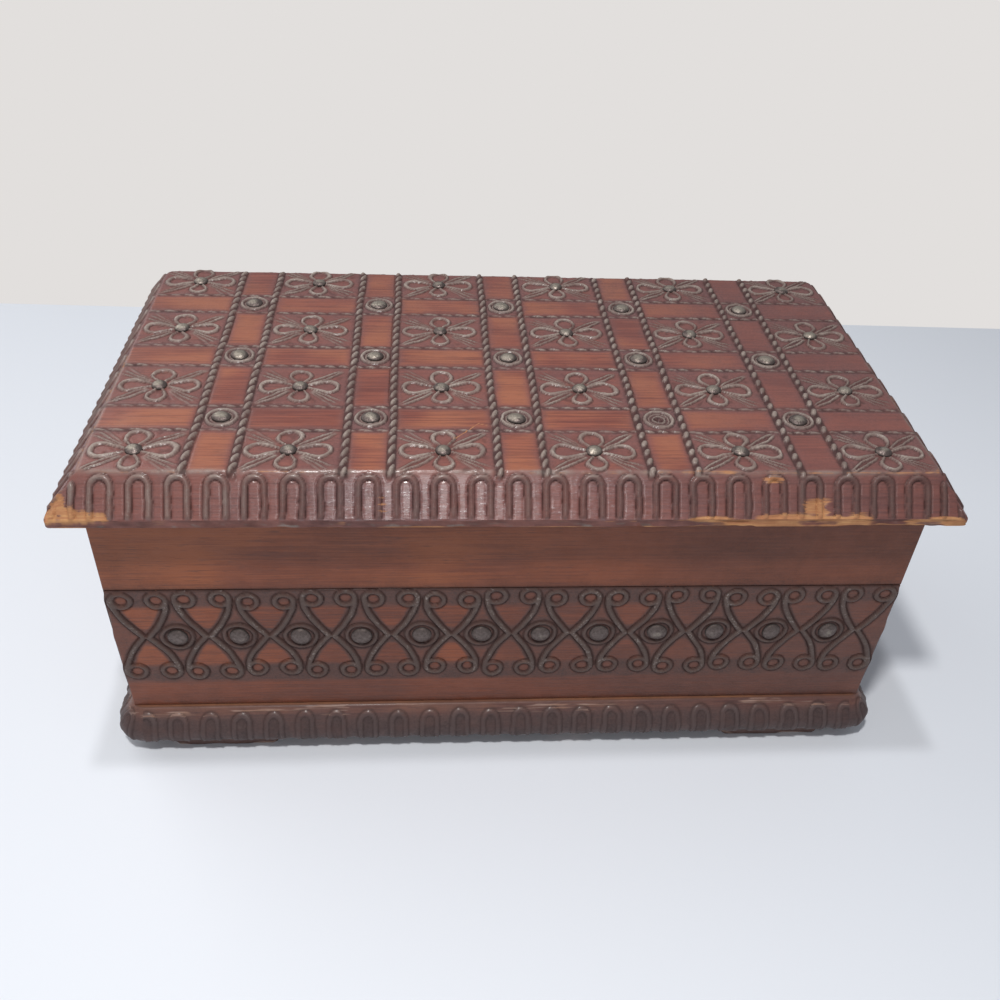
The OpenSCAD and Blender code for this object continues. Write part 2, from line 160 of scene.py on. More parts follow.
def stations(stops: Sequence[float], steps: Sequence[float]) -> Array:
    """Grid lines from the first stop to the last, with a step of its own between each two.

    Args:
        stops: Places that the lines must hit, in order.
        steps: About how far apart the lines are between each two stops.

    Returns:
        The places of the lines.
    """
    runs = [np.linspace(a, b, max(2, int(round(abs(b - a) / step)) + 1))[:-1]
            for a, b, step in zip(stops[:-1], stops[1:], steps)]
    return np.concatenate(runs + [np.array([stops[-1]], float)])


def nearest(value: Array, centres: Sequence[float]) -> tuple[Array, Array]:
    """Finds the nearest of several centres.

    Args:
        value: Places of the points.
        centres: Places of the centres, rising.

    Returns:
        Offset of each point from its nearest centre, and that centre's number.
    """
    centres = np.array(centres)
    index = np.searchsorted((centres[1:] + centres[:-1]) / 2, value)
    return value - centres[index], index


def turned(u: Array, v: Array, degrees: float) -> tuple[Array, Array]:
    """Place along and across an axis turned from U by an angle.

    Args:
        u: First coordinate of the points.
        v: Second coordinate of the points.
        degrees: The angle.

    Returns:
        Place along the axis and place across it.
    """
    angle = math.radians(degrees)
    c, s = math.cos(angle), math.sin(angle)
    return u * c + v * s, v * c - u * s


def rounding(distance: Array, radius: float) -> Array:
    """How far a rounded arris lies inside its corner, at a distance from it: r - sqrt(r^2 - (r-d)^2)."""
    short = np.clip(radius - distance, 0.0, radius)
    return radius - np.sqrt(radius * radius - short * short)


def drop_distance(along: Array, across: Array, start: float, near: float, end: float,
                  far: float) -> Array:
    """Distance from the outline of a drop that lies along its axis.

    The outline joins a small circle near the start and a large one near the end by their
    tangents. The distance is negative inside.

    Args:
        along: Place of the points along the axis.
        across: Place of the points across it.
        start: Place of the small circle's middle.
        near: Radius of the small circle.
        end: Place of the large circle's middle.
        far: Radius of the large circle.

    Returns:
        Signed distance for each point.
    """
    span = end - start
    lean = (near - far) / span
    flank = math.sqrt(1 - lean * lean)
    side, ahead = np.abs(across), along - start
    turn = -lean * side + flank * ahead
    at_start = np.hypot(side, ahead) - near
    at_end = np.hypot(side, ahead - span) - far
    between = flank * side + lean * ahead - near
    return np.where(turn < 0, at_start, np.where(turn > flank * span, at_end, between))


def segment_distance(x: Array, y: Array, start: tuple[float, float], end: tuple[float, float]) -> Array:
    """Distance of points from a straight line between two ends.

    Args:
        x: First coordinate of the points.
        y: Second coordinate of the points.
        start: One end.
        end: The other end.

    Returns:
        Distance of each point.
    """
    dx, dy = end[0] - start[0], end[1] - start[1]
    t = unit(((x - start[0]) * dx + (y - start[1]) * dy) / (dx * dx + dy * dy))
    return np.hypot(x - start[0] - t * dx, y - start[1] - t * dy)


# Meshes and carving

class Solid:
    """Closed mesh gathered from grids of points and flat caps, welded where they meet."""

    WELD = 2e-4

    def __init__(self, name: str) -> None:
        """Starts an empty solid.

        Args:
            name: Name of its piece.
        """
        self.name = name
        self.points: list[Array] = []
        self.masks: dict[str, list[Array]] = {mask: [] for mask in MASKS}
        self.quads: list[Array] = []
        self.caps: list[Array] = []
        self.count = 0

    def sheet(self, points: Array, masks: dict[str, Array], ring: bool = False,
              hoop: bool = False) -> Array:
        """Adds a grid of points and the quads between them.

        Args:
            points: Rows by columns by 3, in millimetres.
            masks: Values of each mask at the points; a missing mask is 0.
            ring: Whether the last column joins the first.
            hoop: Whether the last row joins the first.

        Returns:
            The number of each point, rows by columns, for caps.
        """
        shape = points.shape[:2]
        index = np.arange(shape[0] * shape[1]).reshape(shape) + self.count
        self.count += index.size
        self.points.append(points.reshape(-1, 3))
        for mask in MASKS:
            self.masks[mask].append(np.broadcast_to(masks.get(mask, 0.0), shape).reshape(-1))
        grid = np.concatenate([index, index[:, :1]], axis=1) if ring else index
        grid = np.concatenate([grid, grid[:1]], axis=0) if hoop else grid
        quads = np.stack([grid[:-1, :-1], grid[:-1, 1:], grid[1:, 1:], grid[1:, :-1]], axis=-1)
        self.quads.append(quads.reshape(-1, 4))
        return index

    def cap(self, loop: Array) -> None:
        """Closes a loop of points with one flat face."""
        self.caps.append(loop.ravel())

    def build(self, sharp: float) -> bpy.types.Object:
        """Welds the grids and makes the object.

        Points at the same place become one. A quad that loses a corner becomes a triangle, and
        one that loses more is dropped. Caps are shaded flat.

        Args:
            sharp: Angle in degrees past which an edge is shaded sharp.

        Returns:
            The object, at the origin, linked to the scene.
        """
        points = np.concatenate(self.points)
        key = np.round(points / self.WELD).astype(np.int64)
        key = (key[:, 0] * 4_000_003 + key[:, 1]) * 4_000_037 + key[:, 2]
        _, first, where = np.unique(key, return_index=True, return_inverse=True)
        quads = where[np.concatenate(self.quads)]
        steps = quads != np.roll(quads, -1, axis=1)
        corners = steps.sum(axis=1)
        triangles = quads[corners == 3][steps[corners == 3]].reshape(-1, 3)
        quads = quads[corners == 4]
        caps = [loop[loop != np.roll(loop, -1)] for loop in (where[loop] for loop in self.caps)]
        loops = np.concatenate([quads.ravel(), triangles.ravel(), *caps]).astype(np.int32)
        totals = [4] * len(quads) + [3] * len(triangles) + [len(loop) for loop in caps]
        starts = np.concatenate([[0], np.cumsum(totals)[:-1]]).astype(np.int32)
        mesh = bpy.data.meshes.new(self.name)
        mesh.vertices.add(len(first))
        mesh.vertices.foreach_set("co", (points[first] * MM).astype(np.float32).ravel())
        mesh.loops.add(len(loops))
        mesh.loops.foreach_set("vertex_index", loops)
        mesh.polygons.add(len(totals))
        mesh.polygons.foreach_set("loop_start", starts)
        mesh.update(calc_edges=True)
        mesh.validate()
        for mask in MASKS:
            values = np.concatenate(self.masks[mask])[first]
            if np.any(values):
                layer = mesh.attributes.new(mask, "FLOAT", "POINT")
                layer.data.foreach_set("value", unit(values).astype(np.float32))
        outward = bmesh.new()
        outward.from_mesh(mesh)
        bmesh.ops.recalc_face_normals(outward, faces=outward.faces)
        outward.to_mesh(mesh)
        outward.free()
        smooth = np.arange(len(mesh.polygons)) < len(mesh.polygons) - len(caps)
        mesh.polygons.foreach_set("use_smooth", smooth)
        mesh.set_sharp_from_angle(angle=math.radians(sharp))
        piece = bpy.data.objects.new(self.name, mesh)
        bpy.context.scene.collection.objects.link(piece)
        return piece


class Carving:
    """Carved lines on a patch of points, gathered as a height and masks."""

    NONE = -9.0

    def __init__(self, shape: tuple[int, int]) -> None:
        """Starts with a flat patch.

        Args:
            shape: Its rows and columns.
        """
        self.bead = np.full(shape, self.NONE)
        self.ground = np.zeros(shape)
        self.line = np.zeros(shape)
        self.groove = np.zeros(shape)

    def raise_to(self, bead: Array, line: Array, part: Part) -> None:
        """Raises a part to a bead's height and to its line mask."""
        self.bead[part] = np.maximum(self.bead[part], bead)
        self.line[part] = np.maximum(self.line[part], line)

    def cut(self, depth: Array, part: Part) -> None:
        """Lowers the ground of a part to a depth."""
        self.ground[part] = np.minimum(self.ground[part], -depth)

    def darken(self, groove: Array, part: Part) -> None:
        """Raises the groove mask of a part."""
        self.groove[part] = np.maximum(self.groove[part], groove)

    def stroke(self, distance: Array, width: Array | float, height: float, part: Part = WHOLE,
               depth: float = 0.22, reach: float = 0.4, strength: Array | float = 1.0) -> None:
        """Raises a round bead along a line and cuts a groove at each side of it.

        The bead's height is (height + depth) * sqrt(1 - (2 d / width)^2) - depth, with d the
        distance from the line. Past its edge the groove fades as a bell of the given reach, and the
        groove mask paints it dark there: the dark of the cut with painted shade.

        Args:
            distance: Distance of the points of the part from the line.
            width: Width of the bead.
            height: Height of the bead over the ground.
            part: Rows and columns that the distances are for.
            depth: Depth of the grooves.
            reach: Width over which a groove fades.
            strength: Factor from 0 to 1 that fades the line out.
        """
        off = np.abs(distance)
        half = np.maximum(width, 0.05) / 2
        dome = np.sqrt(np.clip(1 - (off / half) ** 2, 0, None))
        bead = np.where(off < half, ((height + depth) * dome - depth) * strength, self.NONE)
        self.raise_to(bead, ease(dome, 0.25, 0.95) * strength, part)
        self.cut(depth * strength * bell(np.clip(off - half, 0, None), reach), part)
        self.darken(strength * bell(off - half, reach), part)

    def twist(self, across: Array, along: Array, width: float, pitch: float, height: float,
              swing: float, part: Part, strength: Array, beads: float) -> None:
        """Raises a rope of two strands that wind round each other.

        A strand's middle swings over the rope as a cosine of the length, and rises and dips as
        the sine. Each strand is round, and the highest at a point shows. Deeper dips part the
        strands into beads.

        Args:
            across: Distance of the points from the rope's middle line, with its sign.
            along: Length along the rope.
            width: Width of the rope.
            pitch: Length from one strand to the next.
            height: Height of the rope over the ground.
            swing: How far a strand's middle swings to each side.
            part: Rows and columns that the distances are for.
            strength: Factor from 0 to 1 that fades the rope out.
            beads: How far the strands are worn into separate beads, from 0 to 1.
        """
        radius, half, depth = width / 2 - swing, width / 2, 0.3
        best = np.full(across.shape, self.NONE)
        for strand in (-1, 0, 1):
            turn = np.pi * (along / pitch - np.floor(along / pitch) + strand)
            slope = swing * np.pi / pitch * np.sin(turn)
            off = np.abs(across + swing * np.cos(turn)) / np.sqrt(1 + slope ** 2)
            dome = np.sqrt(np.clip(1 - (off / radius) ** 2, 0, None))
            level = 0.5 * np.sin(turn) + dome - beads * (1 - np.sin(turn))
            best = np.maximum(best, np.where(off < radius, level, self.NONE))
        shown = best > self.NONE / 2
        share = np.where(shown, unit(best / 1.5), 0.0)
        bead = np.where(shown, ((height + depth) * share - depth) * strength, self.NONE)
        off = np.abs(across)
        self.raise_to(bead, ease(share, 0.32, 0.7) * strength, part)
        self.cut(depth * strength * bell(np.clip(off - half * 0.8, 0, None), 0.5), part)
        # Painted shade along the rope's sides and in the dips between its strands.
        beside = 0.95 * bell(np.clip(off - half * 0.7, 0, None), 0.5)
        self.darken(np.maximum(beside, within(share, 0.3, 0.56) * (off < half)) * strength, part)

    def height(self) -> Array:
        """Height of the carved surface over the plain one."""
        return np.maximum(self.bead, self.ground)

    def dark(self) -> Array:
        """Groove mask, kept off the tops of the lines."""
        return unit(self.groove - 0.85 * self.line)


# Shader groups and finishes

Tone = tuple[int, int, int]


def paint(tone: Tone) -> tuple[float, float, float, float]:
    """Linear colour of a tone.

    Args:
        tone: Three screen values from 0 to 255.

    Returns:
        Red, green, blue and an alpha of 1.
    """
    values = [c / 255 for c in tone]
    linear = [c / 12.92 if c <= 0.04045 else ((c + 0.055) / 1.055) ** 2.4 for c in values]
    return (*linear, 1.0)


class Desk:
    """Adds shader nodes to a tree and joins them."""

    def __init__(self, tree: bpy.types.NodeTree) -> None:
        """Works on the given tree."""
        self.tree = tree

    def join(self, node: bpy.types.Node, inputs: dict) -> None:
        """Sets inputs of a node.

        Args:
            node: The node.
            inputs: Socket name or number to a value, or to another node's output.
        """
        for key, value in inputs.items():
            if isinstance(value, Socket):
                self.tree.links.new(value, node.inputs[key])
            else:
                node.inputs[key].default_value = value

    def node(self, kind: str, inputs: Optional[dict] = None, **settings: object) -> bpy.types.Node:
        """Adds a node.

        Args:
            kind: Blender's name of the node type, without ShaderNode in front.
            inputs: Socket name or number to a value, or to another node's output.
            settings: Properties of the node.

        Returns:
            The node.
        """
        made = self.tree.nodes.new("ShaderNode" + kind)
        for key, value in settings.items():
            setattr(made, key, value)
        self.join(made, inputs or {})
        return made

    def math(self, kind: str, a: object, b: object, clamp: bool = False) -> Socket:
        """Output of a Math node."""
        return self.node("Math", {0: a, 1: b}, operation=kind, use_clamp=clamp).outputs[0]

    def times(self, a: object, b: object, clamp: bool = False) -> Socket:
        """Product of two values."""
        return self.math("MULTIPLY", a, b, clamp)

    def plus(self, a: object, b: object, clamp: bool = False) -> Socket:
        """Sum of two values."""
        return self.math("ADD", a, b, clamp)

    def minus(self, a: object, b: object, clamp: bool = False) -> Socket:
        """Difference of two values."""
        return self.math("SUBTRACT", a, b, clamp)

    def more(self, start: object, *terms: tuple[Socket, float]) -> Socket:
        """Adds terms to a start value.

        Args:
            start: The start value.
            terms: Each a value and its factor.

        Returns:
            The sum.
        """
        for value, factor in terms:
            start = self.plus(start, self.times(value, factor))
        return start

    def larger(self, a: object, b: object) -> Socket:
        """The larger of two values."""
        return self.math("MAXIMUM", a, b)

    def scaled(self, vector: Socket, along: float, across: float) -> Socket:
        """Vector multiplied by one factor along X and another on the other two axes."""
        return self.node("VectorMath", {0: vector, 1: (along, across, across)},
                         operation="MULTIPLY").outputs[0]

    def noise(self, vector: Socket, scale: float, detail: float, rough: float = 0.5,
              twist: float = 0.0) -> Socket:
        """Value of a noise texture."""
        return self.node("TexNoise", {"Vector": vector, "Scale": scale, "Detail": detail,
                                      "Roughness": rough, "Distortion": twist}).outputs[0]

    def span(self, value: Socket, low: float, high: float, out_low: float = 0.0,
             out_high: float = 1.0) -> Socket:
        """Value eased from one range to another."""
        return self.node("MapRange", {"Value": value, "From Min": low, "From Max": high,
                                      "To Min": out_low, "To Max": out_high},
                         interpolation_type="SMOOTHSTEP").outputs[0]

    def mix(self, share: object, a: object, b: object) -> Socket:
        """Colour between two colours."""
        return self.node("Mix", {0: share, 6: a, 7: b}, data_type="RGBA").outputs[2]

    def mask(self, name: str) -> Socket:
        """Value of a mask that the mesh carries."""
        return self.node("Attribute", attribute_name=name).outputs["Fac"]

    def group(self, tree: bpy.types.NodeTree, **inputs: object) -> bpy.types.Node:
        """Places a node group."""
        return self.node("Group", inputs, node_tree=tree)


def new_group(name: str, inputs: dict[str, object], outputs: Sequence[str]) -> tuple[
        bpy.types.NodeTree, Desk, bpy.types.NodeInputs, bpy.types.Node]:
    """Starts a node group.

    Args:
        name: Name of the group.
        inputs: Socket name to its first value, a number, a vector of 3 or a colour of 4.
        outputs: Socket names. Colour is a colour, and the others are values.

    Returns:
        The group, a desk for it, what it is given, and its output node.
    """
    tree = bpy.data.node_groups.new(name, "ShaderNodeTree")
    for key, value in inputs.items():
        kind = {4: "Color", 3: "Vector"}[len(value)] if isinstance(value, tuple) else "Float"
        socket = tree.interface.new_socket(name=key, in_out="INPUT", socket_type="NodeSocket" + kind)
        socket.default_value = value
    for key in outputs:
        kind = "Color" if key == "Colour" else "Float"
        tree.interface.new_socket(name=key, in_out="OUTPUT", socket_type="NodeSocket" + kind)
    given, out = tree.nodes.new("NodeGroupInput"), tree.nodes.new("NodeGroupOutput")
    return tree, Desk(tree), given.outputs, out


def new_material(name: str) -> tuple[bpy.types.Material, Desk, bpy.types.Node]:
    """Starts a material.

    Args:
        name: Its name.

    Returns:
        The material, a desk for its tree, and its Principled shader.
    """
    made = bpy.data.materials.new(name)
    made.use_nodes = True
    return made, Desk(made.node_tree), made.node_tree.nodes["Principled BSDF"]


class Groups:
    """The effects that several finishes share, each built once."""

    VECTOR = {"Vector": (0.0, 0.0, 0.0)}
    GRAIN = ("Fibre", "Growth", "Pores")
    MOTTLE = ("Broad", "Patch", "Speck")

    def __init__(self) -> None:
        """Builds every group."""
        self.grain = self._grain()
        self.mottle = self._mottle()
        self.crackle = self._crackle()
        self.carved = self._carved()

    def _grain(self) -> bpy.types.NodeTree:
        """Wood grain along X: fine fibres, broad growth lines and short pores.

        Returns:
            The group.
        """
        tree, desk, given, out = new_group("wood_grain", self.VECTOR, self.GRAIN)
        at = given["Vector"]
        fibre = desk.noise(desk.scaled(at, 38, 1500), 1.0, 4.0, 0.62)
        bend = desk.noise(desk.scaled(at, 7, 26), 1.0, 2.0)
        place = desk.node("SeparateXYZ", {0: at}).outputs
        rings = desk.plus(desk.times(place[1], 190.0), desk.times(place[2], 260.0))
        rings = desk.plus(rings, desk.times(bend, 16.0))
        wave = desk.math("SINE", desk.times(rings, 1.9), 0.0)
        pores = desk.noise(desk.scaled(at, 210, 4200), 1.0, 1.0)
        desk.join(out, {"Fibre": desk.span(fibre, 0.3, 0.7), "Growth": desk.span(wave, -0.7, 1.0),
                        "Pores": desk.span(pores, 0.63, 0.72)})
        return tree

    def _mottle(self) -> bpy.types.NodeTree:
        """Uneven stain: broad clouds, small patches and fine specks.

        Returns:
            The group.
        """
        tree, desk, given, out = new_group("stain_mottle", self.VECTOR, self.MOTTLE)
        at = given["Vector"]
        desk.join(out, {"Broad": desk.span(desk.noise(at, 28.0, 2.0), 0.32, 0.68),
                        "Patch": desk.span(desk.noise(at, 170.0, 3.0, 0.6), 0.35, 0.65),
                        "Speck": desk.span(desk.noise(at, 1400.0, 3.0, 0.7), 0.35, 0.7)})
        return tree

    def _crackle(self) -> bpy.types.NodeTree:
        """Old varnish drawn together into wavy ridges, with fine cracks between them.

        Returns:
            The group.
        """
        tree, desk, given, out = new_group("crackled_varnish", self.VECTOR, ("Ridges", "Cracks"))
        at = given["Vector"]
        ridges = desk.noise(desk.scaled(at, 480, 2300), 1.0, 3.0, 0.65, 0.5)
        cells = desk.node("TexVoronoi", {"Vector": desk.scaled(at, 520, 1300), "Scale": 1.0},
                          feature="DISTANCE_TO_EDGE")
        desk.join(out, {"Ridges": desk.span(ridges, 0.3, 0.7),
                        "Cracks": desk.span(cells.outputs["Distance"], 0.0, 0.09, 1.0, 0.0)})
        return tree

    def _carved(self) -> bpy.types.NodeTree:
        """Tones, roughness and gloss of stained, carved and worn wood, from its masks, with painted
        shade in the grooves and painted glints on the lines.

        Returns:
            The group.
        """
        tones = {key: (0.2, 0.2, 0.2, 1.0) for key in CarvedWood.TONES}
        masks = (mask.capitalize() for mask in MASKS[:-1])
        values = {key: 0.0 for key in (*self.GRAIN, *self.MOTTLE, *masks)}
        outputs = ("Colour", "Roughness", "Coat", "Height")
        tree, desk, g, out = new_group("carved_wood", tones | values, outputs)
        fibre, patch, speck, line, groove = (g[key] for key in ("Fibre", "Patch", "Speck", "Line", "Groove"))
        grime, dark = g["Grime"], g["Groove Tone"]
        times, plus, minus = desk.times, desk.plus, desk.minus
        larger, mix, span = desk.larger, desk.mix, desk.span

        streak = plus(plus(times(fibre, 0.5), times(g["Growth"], 0.14)), times(g["Broad"], 0.36))
        glow = times(span(g["Bright"], 0.45, 1.0), span(g["Broad"], 0.9, 0.2, 0.1, 0.8))
        wood = mix(span(streak, 0.2, 0.95), mix(glow, g["Wood"], g["Glow"]), g["Streak"])
        wood = mix(times(g["Pores"], 0.45), wood, dark)
        stained = mix(times(minus(1.0, g["Bright"], True), 0.55), wood, g["Ground"])
        # The ground is darkened to its dull stain by soiling and by painted shade.
        dirt = times(grime, plus(0.62, times(patch, 0.5)), True)
        stained = mix(dirt, stained, g["Ground"])
        stained = mix(times(dirt, times(speck, 0.5)), stained, dark)

        stained = mix(times(line, 0.8), stained, mix(0.5, g["Line Tone"], dark))
        dust = times(line, plus(times(speck, 0.4), times(patch, 0.65)), True)
        stained = mix(dust, stained, g["Line Tone"])
        # Painted glints on the tops of the carved lines.
        spark = times(times(span(line, 0.55, 0.95), span(speck, 0.45, 0.95)), span(patch, 0.5, 1.0))
        stained = mix(times(spark, 0.45), stained, paint((180, 170, 164)))
        # The groove mask paints the dark of the cuts together with painted shade.
        stained = mix(times(groove, 0.72), stained, dark)

        inner = mix(times(fibre, 0.65), g["Inner"], g["Wood"])
        inner = mix(times(g["Growth"], 0.34), inner, g["Streak"])
        soil = plus(times(g["Pores"], 0.4), times(grime, times(patch, 0.35)), True)
        stained = mix(g["Bare"], stained, mix(soil, inner, dark))

        worn = span(plus(g["Wear"], times(minus(fibre, 0.5), 0.35)), 0.38, 0.68)
        raw = mix(times(patch, 0.5), mix(times(fibre, 0.6), g["Raw"], g["Wood"]), g["Inner"])
        open_wood = larger(worn, g["Bare"])
        rough = desk.more(0.4, (patch, 0.12), (groove, 0.3), (grime, 0.1))
        rough = plus(rough, times(open_wood, 0.3), True)
        coat = minus(1.0, larger(larger(open_wood, groove), times(line, 0.65)), True)
        height = minus(times(fibre, 0.35), times(g["Pores"], 0.5))
        height = minus(plus(height, times(times(grime, speck), 0.8)), times(worn, 0.6))
        desk.join(out, {"Colour": mix(worn, stained, raw), "Roughness": rough, "Coat": coat,
                        "Height": height})
        return tree


class Grain(Enum):
    """Direction of a board's grain, as the turn in degrees that lays X along it."""

    ALONG_X = 0.0
    ALONG_Y = 90.0


@dataclass(frozen=True)
class CarvedWood:
    """Stained and varnished wood with dark grooves partly painted as shade, dusty carved lines with
    painted glints, worn edges, and painted sheen and glints on crackled varnish.
    """

    TONES = {"Wood": "wood", "Streak": "streak", "Glow": "glow", "Ground": "ground", "Line Tone": "line",
             "Groove Tone": "groove", "Raw": "raw", "Inner": "inner"}

    name: str
    grain: Grain = Grain.ALONG_X
    wood: Tone = (142, 80, 62)
    streak: Tone = (96, 50, 42)
    glow: Tone = (158, 98, 70)
    ground: Tone = (114, 78, 76)
    line: Tone = (152, 138, 129)
    groove: Tone = (48, 37, 37)
    raw: Tone = (194, 148, 102)
    inner: Tone = (146, 98, 68)
    gloss: float = 0.22
    crackle: float = 0.06
    bump: float = 0.25

    def material(self, groups: Groups) -> bpy.types.Material:
        """Builds the material.

        Args:
            groups: The shared shader groups.

        Returns:
            The material, which reads the masks of the mesh and Object coordinates.
        """
        made, desk, shader = new_material(self.name)
        times, plus, mix, span = desk.times, desk.plus, desk.mix, desk.span
        at = desk.node("TexCoord").outputs["Object"]
        turn = (0.0, 0.0, math.radians(self.grain.value))
        along = desk.node("Mapping", {"Vector": at, "Rotation": turn}).outputs[0]
        grain = desk.group(groups.grain, Vector=along).outputs
        mottle = desk.group(groups.mottle, Vector=at).outputs
        crackle = desk.group(groups.crackle, Vector=along).outputs
        carved = desk.group(groups.carved)
        desk.join(carved, {key: paint(getattr(self, tone)) for key, tone in self.TONES.items()})
        desk.join(carved, {key: grain[key] for key in Groups.GRAIN})
        desk.join(carved, {key: mottle[key] for key in Groups.MOTTLE})
        desk.join(carved, {mask.capitalize(): desk.mask(mask) for mask in MASKS[:-1]})
        ridges, coat = crackle["Ridges"], carved.outputs["Coat"]
        held = times(coat, plus(self.crackle, desk.mask("glaze")), True)
        cracks = times(crackle["Cracks"], times(held, 0.3))
        colour = mix(cracks, carved.outputs["Colour"], paint(self.groove))
        height = plus(carved.outputs["Height"], times(ridges, times(held, 1.1)))
        # Painted sheen: thick crackled varnish is tinted pale purple-grey, more on its ridges.
        colour = mix(times(held, plus(0.02, times(ridges, 0.36))), colour, paint((166, 146, 150)))
        # Painted glints: pale specks on the ridges of thick varnish.
        sparks = times(span(held, 0.25, 0.9), span(ridges, 0.72, 1.0))
        sparks = times(sparks, span(mottle["Speck"], 0.4, 0.8))
        colour = mix(times(sparks, 0.85), colour, paint((226, 216, 214)))
        bump = desk.node("Bump", {"Strength": self.bump, "Distance": 0.0003, "Height": height})
        desk.join(shader, {"Base Color": colour, "Roughness": carved.outputs["Roughness"],
                           "Coat Weight": plus(times(coat, self.gloss), held, True),
                           "Normal": bump.outputs[0], "Coat Roughness": 0.2, "Specular IOR Level": 0.3})
        return made


@dataclass(frozen=True)
class AgedMetal:
    """Old metal: worn bright in places, with a dull dark skin over the rest."""

    name: str
    bright: Tone
    skin: Tone
    worn: float
    smooth: float
    dirt: Tone = (38, 31, 29)

    def material(self, groups: Groups) -> bpy.types.Material:
        """Builds the material.

        Args:
            groups: The shared shader groups.

        Returns:
            The material.
        """
        made, desk, shader = new_material(self.name)
        mottle = desk.group(groups.mottle, Vector=desk.node("TexCoord").outputs["Object"]).outputs
        speck, groove = mottle["Speck"], desk.mask("groove")
        rub = desk.plus(desk.mask("wear"), desk.times(mottle["Patch"], 0.5))
        rub = desk.span(rub, 0.9 - self.worn, 1.4 - self.worn)
        colour = desk.mix(rub, paint(self.skin), paint(self.bright))
        colour = desk.mix(desk.times(speck, 0.3), colour, paint(self.dirt))
        bump = desk.node("Bump", {"Strength": 0.35, "Distance": 0.0002, "Height": speck})
        # The groove mask darkens the metal: painted shade at the foot of tack heads and in screw slots, with
        # soiling.
        desk.join(shader, {"Base Color": desk.mix(groove, colour, paint(self.dirt)),
                           "Roughness": desk.more(self.smooth, (speck, 0.25), (groove, 0.25)),
                           "Metallic": desk.minus(0.8, desk.times(groove, 0.5)), "Normal": bump.outputs[0]})
        return made


class Finishes:
    """Every finish of the box, by the part of it that wears it."""

    def __init__(self) -> None:
        """Builds the materials."""
        groups = Groups()
        rail = {"wood": (146, 77, 44), "streak": (114, 58, 37), "glow": (158, 89, 48), "ground": (98, 54, 37),
                "crackle": 0.05, "bump": 0.15, "gloss": 0.15}
        wall = {"wood": (137, 65, 29), "streak": (100, 47, 26), "glow": (152, 77, 36), "ground": (88, 57, 48),
                "line": (98, 82, 75), "groove": (48, 35, 34), "crackle": 0.08}
        self.lid = CarvedWood("lid_carved_wood", wood=(144, 80, 64), streak=(106, 56, 48),
                              gloss=0.4).material(groups)
        self.rail_x = CarvedWood("rail_wood_long", **rail).material(groups)
        self.rail_y = CarvedWood("rail_wood_short", Grain.ALONG_Y, **rail).material(groups)
        self.wall_x = CarvedWood("case_wood_long", **wall).material(groups)
        self.wall_y = CarvedWood("case_wood_short", Grain.ALONG_Y, **wall).material(groups)
        self.base = CarvedWood("base_dark_wood", wood=(118, 77, 66), streak=(90, 57, 52), glow=(142, 97, 77),
                               ground=(84, 67, 65), line=(98, 82, 80), raw=(196, 172, 158),
                               inner=(140, 96, 68), crackle=0.08, gloss=0.12).material(groups)
        self.tack = AgedMetal("tack_dark_bronze", bright=(174, 164, 151), skin=(112, 100, 96), worn=0.35,
                              smooth=0.36).material(groups)
        self.brass = AgedMetal("hinge_aged_brass", bright=(190, 158, 96), skin=(128, 98, 58), worn=0.7,
                               smooth=0.3).material(groups)


def dress(piece: bpy.types.Object, material: bpy.types.Material, body: str,
          nodes: Sequence[str]) -> None:
    """Gives a piece its material and its body, and lets it stand for its CAD nodes.

    Args:
        piece: The object.
        material: Its material.
        body: The body it rides on.
        nodes: The CAD nodes it stands for.
    """
    piece.data.materials.append(material)
    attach(piece, body)
    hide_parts(*nodes)
    log.info("%s rides on %s: %d faces", piece.name, body, len(piece.data.polygons))


# Lid board

def window(x: Array, y: Array, at_x: float, at_y: float, half_x: float, half_y: float) -> Part:
    """Rows and columns of a grid that lie round a place, up to a distance each way."""
    rows = slice(*np.searchsorted(y[:, 0], (at_y - half_y, at_y + half_y)))
    return rows, slice(*np.searchsorted(x[0], (at_x - half_x, at_x + half_x)))


def border(grid: Array) -> Array:
    """Values of a grid once round its border."""
    return np.concatenate([grid[0, :-1], grid[:-1, -1], grid[-1, :0:-1], grid[:0:-1, 0]])


